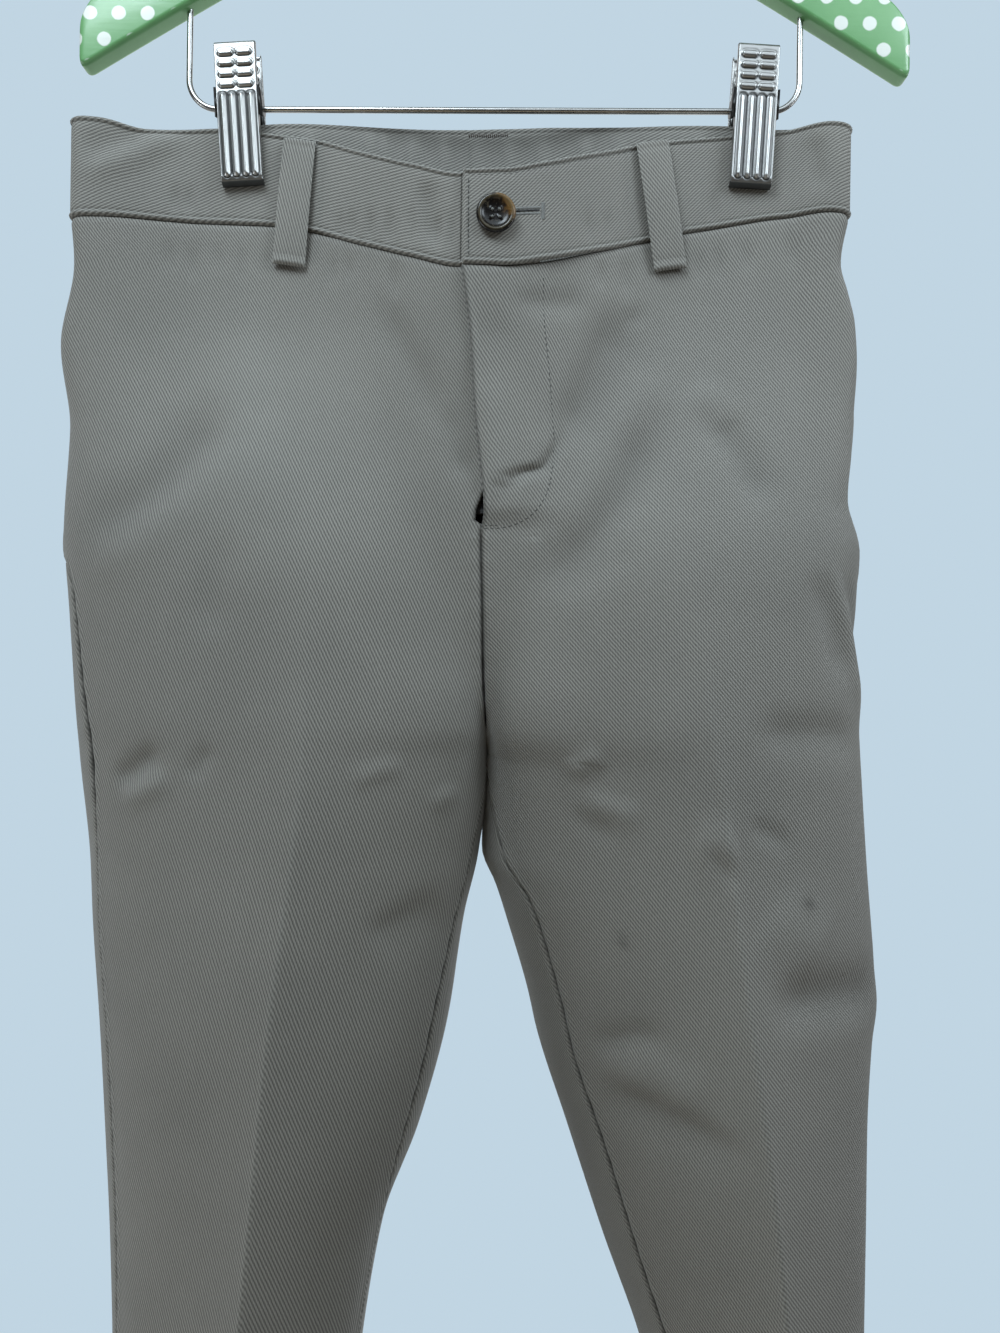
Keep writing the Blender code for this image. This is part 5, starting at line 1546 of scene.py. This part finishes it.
# Outline of the button from the middle of its face, over the rim, to the middle of its back
BUTTON_PROFILE = table("radius up", (
    (0.0, 1.2), (2.6, 1.2), (3.9, 1.35), (4.9, 1.65), (5.5, 2.1), (5.9, 2.5), (6.4, 2.65),
    (6.9, 2.6), (7.3, 2.3), (7.55, 1.8), (7.6, 1.3), (7.4, 0.8), (6.9, 0.35), (6.0, 0.1),
    (4.0, 0.0), (0.0, 0.0)))
BUTTON_SIDES = 72
ALONG_X = (1.0, 0.0, 0.0)


def cut_hole(made, path):
    """Round hole through a piece along a path."""
    points, faces = tube(path, 0.75, around=20, reference=ALONG_X)
    mesh = bpy.data.meshes.new("guide")
    mesh.from_pydata((points * MM).tolist(), [], faces)
    cutter = bpy.data.objects.new("guide", mesh)
    bpy.context.scene.collection.objects.link(cutter)
    hole = made.modifiers.new("hole", "BOOLEAN")
    hole.operation = "DIFFERENCE"
    hole.solver = "EXACT"
    hole.object = cutter
    bake_modifiers(made)
    bpy.data.objects.remove(cutter, do_unlink=True)


def add_button():
    """Four-hole button: a profile turned about its axis, with its holes cut, and the thread that
    fills them and holds it off the band."""
    band, _ = on_band(np.array([BUTTON_X]), np.array([BUTTON_DROP]))
    back, middle_z = band[0, 1] - LAYER_GAP, BAR_Z - BUTTON_DROP
    radius, up = BUTTON_PROFILE["radius"][1:-1], BUTTON_PROFILE["up"][1:-1]
    angle = np.linspace(0, 2 * math.pi, BUTTON_SIDES, endpoint=False)
    ring = np.stack((BUTTON_X + radius[:, None] * np.cos(angle), back - up[:, None] + 0 * angle,
                     middle_z + radius[:, None] * np.sin(angle)), axis=-1)
    poles = [(BUTTON_X, back - BUTTON_PROFILE["up"][k], middle_z) for k in (0, -1)]
    points = np.concatenate((ring.reshape(-1, 3), poles))
    faces = lattice(len(radius), BUTTON_SIDES, around=True).tolist()
    face_pole = len(radius) * BUTTON_SIDES
    last = face_pole - BUTTON_SIDES
    for k in range(BUTTON_SIDES):
        ahead = (k + 1) % BUTTON_SIDES
        faces += [[face_pole, ahead, k], [face_pole + 1, last + k, last + ahead]]
    rim = np.repeat(bell(radius - 6.3, 0.45) * (up > 1.9), BUTTON_SIDES)
    made = add_piece("horn_waist_button", points, faces, HORN, "button", ("waist_button",),
                     marks={"rim": np.concatenate((rim, [0, 0]))})
    parts = []
    for x in (BUTTON_X - BUTTON_HOLE_OUT, BUTTON_X + BUTTON_HOLE_OUT):
        for z in (middle_z - BUTTON_HOLE_OUT, middle_z + BUTTON_HOLE_OUT):
            cut_hole(made, [(x, back - 6, z), (x, back + 4, z)])
            stub = round_ended([(x, back - depth, z) for depth in (-0.2, 0.4, 0.9, 1.45)], 0.5)
            parts.append(tube(*stub, around=12, reference=ALONG_X))
    shank = [(BUTTON_X, back + depth, middle_z) for depth in (-0.4, 0.6)]
    parts.append(tube(shank, 1.6, around=14, reference=ALONG_X))
    add_piece("button_thread", *join(parts), PALE_THREAD, "button")


def bake_modifiers(made):
    """Apply a piece's modifiers to its mesh."""
    bpy.context.view_layer.update()
    graph = bpy.context.evaluated_depsgraph_get()
    mesh = bpy.data.meshes.new_from_object(made.evaluated_get(graph))
    made.modifiers.clear()
    old = made.data
    made.data = mesh
    bpy.data.meshes.remove(old)


# Hanger


def arc(centre, radius, start, end, count):
    """Points on an arc in the XZ plane, with angles in degrees from +X towards +Z."""
    angles = np.radians(np.linspace(start, end, count))
    return [(centre[0] + radius * math.cos(a), 0.0, centre[1] + radius * math.sin(a))
            for a in angles]


def arm_lower(x):
    """Drop of the hanger's lower edge: straight arms that round over at the hub."""
    bend = math.sqrt(WOOD_HALF ** 2 + ARM_BEND ** 2) - np.sqrt(x * x + ARM_BEND ** 2)
    return ARM_TIP_DROP - ARM_SLOPE * bend


def arm_upper(x):
    """Drop of the hanger's upper edge, a little fuller at the hub."""
    return arm_lower(x) - ARM_HEIGHT - HUB_EXTRA * np.exp(-(x / HUB_WIDTH) ** 2)


def corner_round(distance, radius):
    """Height lost to a round corner at a distance from its tip."""
    left = np.clip(radius - distance, 0, radius)
    return radius - np.sqrt(radius ** 2 - left ** 2)


WOOD_EDGE = 2.2
TIP_LOWER_ROUND = 4.0
TIP_UPPER_ROUND = 11.0


def add_wood():
    """Flat wooden hanger: upright slices with round edges, from tip to tip. Each slice is a
    rectangle with quarter circles at its corners."""
    tip = WOOD_HALF - np.concatenate((np.linspace(0.05, 1, 6), np.linspace(1.4, 12, 18)))
    half = np.concatenate((tip, np.linspace(WOOD_HALF - 14, 2.5, 50)))
    xs = np.concatenate((-half, [0.0], half[::-1]))
    depth = WOOD_THICK / 2
    from_tip = WOOD_HALF - np.abs(xs)
    low = BAR_Z - arm_lower(xs) + corner_round(from_tip, TIP_LOWER_ROUND)
    high = BAR_Z - arm_upper(xs) - corner_round(from_tip, TIP_UPPER_ROUND)
    thin = depth - 0.6 * corner_round(from_tip, WOOD_EDGE)
    quarter_angles = np.linspace(0, math.pi / 2, 7)
    ys, zs, flat = [], [], []
    for corner, (sy, end) in enumerate(((-1, "low"), (1, "low"), (1, "high"), (-1, "high"))):
        angles = quarter_angles if corner % 2 == 0 else quarter_angles[::-1]
        for a in angles:
            inset_y = WOOD_EDGE * (1 - math.cos(a))
            inset_z = WOOD_EDGE * (1 - math.sin(a))
            ys.append(sy * (thin - inset_y))
            zs.append(low + inset_z if end == "low" else high - inset_z)
            flat.append(float(a < 0.5))
    points = np.stack((np.broadcast_to(xs, (len(ys), len(xs))), ys, zs), axis=-1).transpose(1, 0, 2)
    around = len(ys)
    faces = lattice(len(xs), around, around=True).tolist()
    faces += [list(range(around)), list(range((len(xs) - 1) * around, len(xs) * around))]
    add_piece("dotted_hanger", points.reshape(-1, 3), faces, PAINT, "painted_wood", ("hanger_wood",),
              marks={"flat_face": np.tile(flat, len(xs))})


def bar_z(x):
    """Height of the bar's middle line."""
    return BAR_Z + BAR_RISE * x


def add_wires():
    """Wire bar with two legs up into the wood, and the hook on its bent stem."""
    top = BAR_Z - arm_lower(WIRE_LEG_X) + WIRE_SEAT
    corner = WIRE_LEG_X - WIRE_CORNER
    legs = np.linspace(top, bar_z(-corner) + WIRE_CORNER, 6)
    route = [(-WIRE_LEG_X, 0.0, z) for z in legs[:-1]]
    route += arc((-corner, bar_z(-corner) + WIRE_CORNER), WIRE_CORNER, 180, 270, 20)
    route += [(x, 0.0, bar_z(x)) for x in np.linspace(-corner, corner, 40)[1:-1]]
    route += arc((corner, bar_z(corner) + WIRE_CORNER), WIRE_CORNER, 270, 360, 20)
    route += [(WIRE_LEG_X, 0.0, z) for z in np.linspace(bar_z(corner) + WIRE_CORNER, top, 6)[1:]]
    add_piece("wire_bar", *tube(route, WIRE_RADIUS, around=24), WIRE, "steel", ("hanger_bar",))

    foot = BAR_Z - arm_upper(0) - STEM_SEAT
    centre = (0.0, HOOK_WIRE - HOOK_RADIUS)
    turn_z = centre[1] - HOOK_RADIUS - 2.0
    route = [(0.0, 0.0, z) for z in np.linspace(foot, turn_z - STEM_BEND, 8)]
    route += arc((STEM_BEND, turn_z - STEM_BEND), STEM_BEND, 180, 112, 10)[1:]
    route += arc(centre, HOOK_RADIUS, -62, 196, 60)
    route.append((route[-1][0] + 1.2, 0.0, route[-1][2] - 4.0))
    hook = tube(*round_ended(route, HOOK_WIRE), around=24)
    add_piece("wire_hook", *hook, WIRE, "steel", ("hanger_hook",))


def clip_place(side, points):
    """Turn points from the clip's own frame, on the bar, to where the clip hangs."""
    tilt = CLIP_TILT[side]
    points = np.asarray(points, dtype=float)
    x = points[..., 0] * math.cos(tilt) - points[..., 2] * math.sin(tilt)
    z = points[..., 0] * math.sin(tilt) + points[..., 2] * math.cos(tilt)
    return np.stack((x + CLIP_X[side], points[..., 1], z + bar_z(CLIP_X[side])), axis=-1)


PILL_ROWS = (19.7, 15.3, 10.9, 6.5)
PILL_X = 3.7
RIB_X = (-5.7, -1.9, 1.9, 5.7)
RIB_TOP = 2.0
RIB_FOOT = -29.2


PILL_RUN = 1.9
# A mark is raised by MARK_HEIGHT where its line's distance is under the first slope, down to
# nothing at the second. Its groove, and the painted shade in it, are given as depth, distance
# and width.
MARK_HEIGHT = 0.85
MARKS = {
    "pill": ((0.75, 1.5), (0.25, 1.7, 0.25), (0.30, 1.55, 0.32)),
    "rib": ((0.15, 1.25), (0.30, 1.65, 0.35), (0.28, 1.65, 0.45)),
}


def mark_distances(x, up):
    """Kind of each pressed mark, the distance to its line, and where painted shade darkens its
    groove. The lines of the pills are level and those of the ribs upright."""
    for pill_up in PILL_ROWS:
        for pill_x in (-PILL_X, PILL_X):
            run = np.maximum(np.abs(x - pill_x) - PILL_RUN, 0)
            yield "pill", np.hypot(run, up - pill_up), up < pill_up + 0.3
    for rib_x in RIB_X:
        run = np.maximum(np.maximum(up - RIB_TOP, RIB_FOOT - up), 0)
        yield "rib", np.hypot(x - rib_x, run), 1.0


def pressed_pattern(x, up):
    """Height of a jaw's pressed pattern, and the painted shade of its grooves: two columns of
    raised pills, then four round-ended ribs. Each adds a step and bell curves of its distance."""
    height, dark = np.zeros(x.shape), np.zeros(x.shape)
    for kind, apart, under in mark_distances(x, up):
        slope, (groove, groove_at, groove_width), (shade_strength, shade_at, shade_width) = MARKS[kind]
        height = height + MARK_HEIGHT * (1 - smooth_step(*slope, apart))
        height = height - groove * bell(apart - groove_at, groove_width)
        # Painted shade in the grooves; on the pills only along their lower side
        dark = dark + shade_strength * under * bell(apart - shade_at, shade_width)
    return height, dark


JAW_WALL = 0.75
JAW_COUNTS = (52, 66, 6, 8)
JAW_EDGE = 0.93
JAW_TURN = 1.7
EAR_RADIUS = 3.2
EAR_HALF = 0.4


def ear_plate(side, sign, x):
    """Ear of a jaw: a flat plate at x, rounded round the bar."""
    angles = np.linspace(math.pi * 0.64, math.pi * 1.36, 15)
    outline = [(sign * EAR_RADIUS * math.cos(a), EAR_RADIUS * math.sin(a)) for a in angles]
    outline += [(sign * 6.6, -6.0), (sign * 6.6, 6.0)]
    points = [(ear_x, y, z) for ear_x in (x - EAR_HALF, x + EAR_HALF) for y, z in outline]
    count = len(outline)
    faces = [list(range(count)), list(range(2 * count - 1, count - 1, -1))]
    faces += [[k, (k + 1) % count, (k + 1) % count + count, k + count] for k in range(count)]
    return clip_place(side, points), faces


def add_jaw(side, face):
    """Pressed jaw: its side outline carried across, with its long edges turned back and the
    pattern pressed out, and two ears round the bar."""
    sign = -1 if face == "front" else 1
    outline = np.stack((JAW_OUTLINE["out"], JAW_OUTLINE["up"]), axis=-1)
    path = []
    for k, count in enumerate(JAW_COUNTS):
        t = np.linspace(0, 1, count, endpoint=(k == len(JAW_COUNTS) - 1))[:, None]
        path.append(outline[k] + (outline[k + 1] - outline[k]) * t)
    path = np.concatenate(path)
    tangent = unit(np.gradient(path, axis=0))
    normal_out, normal_up = -tangent[:, 1:], tangent[:, :1]
    across = np.concatenate((np.linspace(-1, -JAW_EDGE, 6)[:-1], np.linspace(-JAW_EDGE, JAW_EDGE, 63),
                             np.linspace(JAW_EDGE, 1, 6)[1:]))
    turned = np.clip((np.abs(across) - JAW_EDGE) / (1 - JAW_EDGE), 0, 1) * math.pi / 2
    x = np.sign(across) * (np.minimum(np.abs(across), JAW_EDGE) / JAW_EDGE * (CLIP_WIDTH / 2 - 0.5)
                           + 0.5 * np.sin(turned))
    grid_x = np.broadcast_to(x, (len(path), len(x)))
    grid_up = np.broadcast_to(path[:, 1:], grid_x.shape)
    lift, dark = pressed_pattern(grid_x, grid_up)
    lift = lift - JAW_TURN * (1 - np.cos(turned)) * smooth_step(-33.1, -30.2, grid_up)
    lift = lift - 0.5 * smooth_step(23.2, 24.3, grid_up)
    out, high = path[:, :1] + normal_out * lift, path[:, 1:] + normal_up * lift
    outer = np.stack((grid_x, sign * out, high), axis=-1)
    inner = np.stack((grid_x * (1 - JAW_WALL / CLIP_WIDTH), sign * (out - normal_out * JAW_WALL),
                      high - normal_up * JAW_WALL), axis=-1)
    rows, columns = grid_x.shape
    ring = 2 * columns
    faces = lattice(rows, ring, around=True).tolist()
    for first in (0, (rows - 1) * ring):
        faces += [[first + k, first + k + 1, first + ring - 2 - k, first + ring - 1 - k]
                  for k in range(columns - 1)]
    wall = clip_place(side, np.concatenate((outer, inner[:, ::-1]), axis=1))
    ears = [ear_plate(side, sign, ear_side * EAR_X[face]) for ear_side in (-1, 1)]
    points, faces = join([(wall, faces)] + ears)
    # Painted shade: the grooves, a nearly black band under the lip that grips the cloth, and the ears
    # nearly black all over
    dark = np.clip(dark / 0.28, 0, 1) + 0.85 * smooth_step(31.4, 32.3, -grid_up)
    painted_shade = np.concatenate((np.clip(dark, 0, 1), np.zeros(grid_x.shape)), axis=1).ravel()
    painted_shade = np.concatenate((painted_shade, np.full(len(points) - painted_shade.size, 0.95)))
    add_piece("clip_%s_jaw_%s" % (side, face), points, faces, STEEL, "steel",
              ("clip_%s_%s_jaw" % (side, face),), marks={"painted_shade": painted_shade})


SPRING_TURNS = 4.5


def add_spring(side):
    """Torsion spring round the bar: a helix with a leg up against each jaw."""
    angles = np.linspace(math.pi, math.pi + 2 * math.pi * SPRING_TURNS, 110)
    x = np.linspace(-4.2, 4.2, len(angles))
    coil = np.stack((x, 2.3 * np.cos(angles), -2.3 * np.sin(angles)), axis=-1)
    front_leg = np.linspace((x[0], -4.8, 13.0), coil[0], 8)[:-1]
    back_leg = np.linspace(coil[-1], (x[-1], 4.8, 13.0), 8)[1:]
    route = clip_place(side, np.concatenate((front_leg, coil, back_leg)))
    wire = tube(route, 0.45, around=10, reference=(1.0, 0.05, 0.0))
    add_piece("clip_%s_coil" % side, *wire, WIRE, "steel", ("clip_%s_spring" % side,))


# Stage


# Radius and height of the floor's edge in metres, from its top down
FLOOR_EDGE = ((1.38, -1.75), (1.4, -1.752), (1.4, -1.768), (1.38, -1.77))
# Lights: name, place, aim, width and height in metres, power in watts, colour, shown in gloss
LIGHTS = (
    ("sky", (-0.05, -0.50, 0.35), (0.0, 0.0, -0.33), (1.2, 0.6), 3.9, (0.79, 0.91, 1.0), True),
    ("key", (-0.24, -0.42, 0.22), (0.0, 0.0, -0.30), (0.3, 0.3), 3.3, (0.79, 0.91, 1.0), True),
    ("right_high", (0.55, -0.35, 0.05), (0.13, 0.0, -0.33), (0.3, 0.3), 2.6, (0.80, 0.91, 1.0), True),
    ("left_window", (-1.15, -0.24, -0.85), (-0.05, -0.02, -0.85), (0.35, 0.8), 5.2,
     (0.90, 0.96, 1.0), True),
    ("right_fill", (1.15, -0.06, -0.60), (0.10, 0.0, -0.60), (0.2, 0.9), 2.6, (0.90, 0.95, 1.0), True),
    ("low_warm", (-0.10, -0.75, -1.25), (0.05, 0.0, -0.75), (0.8, 0.5), 0.65, (1.0, 0.78, 0.42), True),
    ("back_fill", (0.3, 1.6, 0.2), (0.0, 0.0, -0.5), (1.4, 1.2), 36.0, (0.93, 0.97, 1.0), False),
    ("back_shine", (0.0, 1.6, -0.3), (0.0, 0.0, -0.3), (3.0, 3.0), 26.0, (0.93, 0.97, 1.0), True),
)
CAMERA_PLACE = (0.00564, -0.410, -0.4378)
CAMERA_LENS = 27.007
CAMERA_ROLL = -0.8


def add_floor():
    """Pale round floor."""
    around = 96
    angle = np.linspace(0, 2 * math.pi, around, endpoint=False)
    points = np.concatenate([
        np.stack((radius * np.cos(angle), radius * np.sin(angle), np.full(around, height)), axis=-1)
        for radius, height in FLOOR_EDGE])
    faces = lattice(len(FLOOR_EDGE), around, around=True).tolist()
    faces += [list(range(around)), list(range(3 * around, 4 * around))]
    mesh = bpy.data.meshes.new("floor")
    mesh.from_pydata(points.tolist(), [], faces)
    turn_faces_out(mesh)
    mesh.materials.append(floor_material())
    made = bpy.data.objects.new("floor", mesh)
    bpy.context.scene.collection.objects.link(made)


def add_light(name, place, aim, size, power, colour, shine):
    """Soft square light at a place, turned to its aim, kept out of gloss where shine is off."""
    lamp = bpy.data.lights.new(name, "AREA")
    lamp.shape = "RECTANGLE"
    lamp.size, lamp.size_y = size
    lamp.energy = power
    lamp.color = colour
    made = bpy.data.objects.new(name, lamp)
    made.location = place
    made.rotation_euler = (Vector(aim) - Vector(place)).to_track_quat("-Z", "Y").to_euler()
    made.visible_glossy = shine
    bpy.context.scene.collection.objects.link(made)


def add_light_and_camera():
    """Pale surround, which the camera sees brighter than the pieces do, the lights and the camera."""
    world = bpy.data.worlds.new("pale_surround")
    bpy.context.scene.world = world
    world.use_nodes = True
    world.node_tree.nodes.clear()
    surround = Nodes(world.node_tree)
    seen = surround.node("Background", None, (0.533, 0.665, 0.765, 1), 1.0)
    lit = surround.node("Background", None, (1.0, 0.95, 0.86, 1), 0.08)
    by_camera = surround.node("LightPath").outputs["Is Camera Ray"]
    mixed = surround.node("MixShader", None, by_camera, lit.outputs[0], seen.outputs[0])
    surround.node("OutputWorld", None, mixed.outputs[0])
    for light in LIGHTS:
        add_light(*light)

    lens = bpy.data.cameras.new("camera")
    lens.sensor_width = 36.0
    lens.sensor_fit = "AUTO"
    lens.lens = CAMERA_LENS
    lens.clip_start = 0.01
    camera = bpy.data.objects.new("camera", lens)
    camera.location = CAMERA_PLACE
    camera.rotation_euler = (math.radians(90), math.radians(CAMERA_ROLL), 0.0)
    bpy.context.scene.collection.objects.link(camera)
    bpy.context.scene.camera = camera
    bpy.context.scene.view_settings.view_transform = "Standard"


LEG_CENTRE_X = float(CENTRE_LINE["x"][0])

add_light_and_camera()
for one_side in ("right", "left"):
    add_panel(one_side, front=True)
    add_panel(one_side, front=False)
    add_facing(one_side)
    add_spring(one_side)
    for one_face in ("front", "back"):
        add_jaw(one_side, one_face)
add_bands()
for loop_name, strap in BELT_LOOPS.items():
    add_belt_loop(loop_name, *strap)
add_zip()
add_stitching()
add_button()
add_wood()
add_wires()
add_floor()
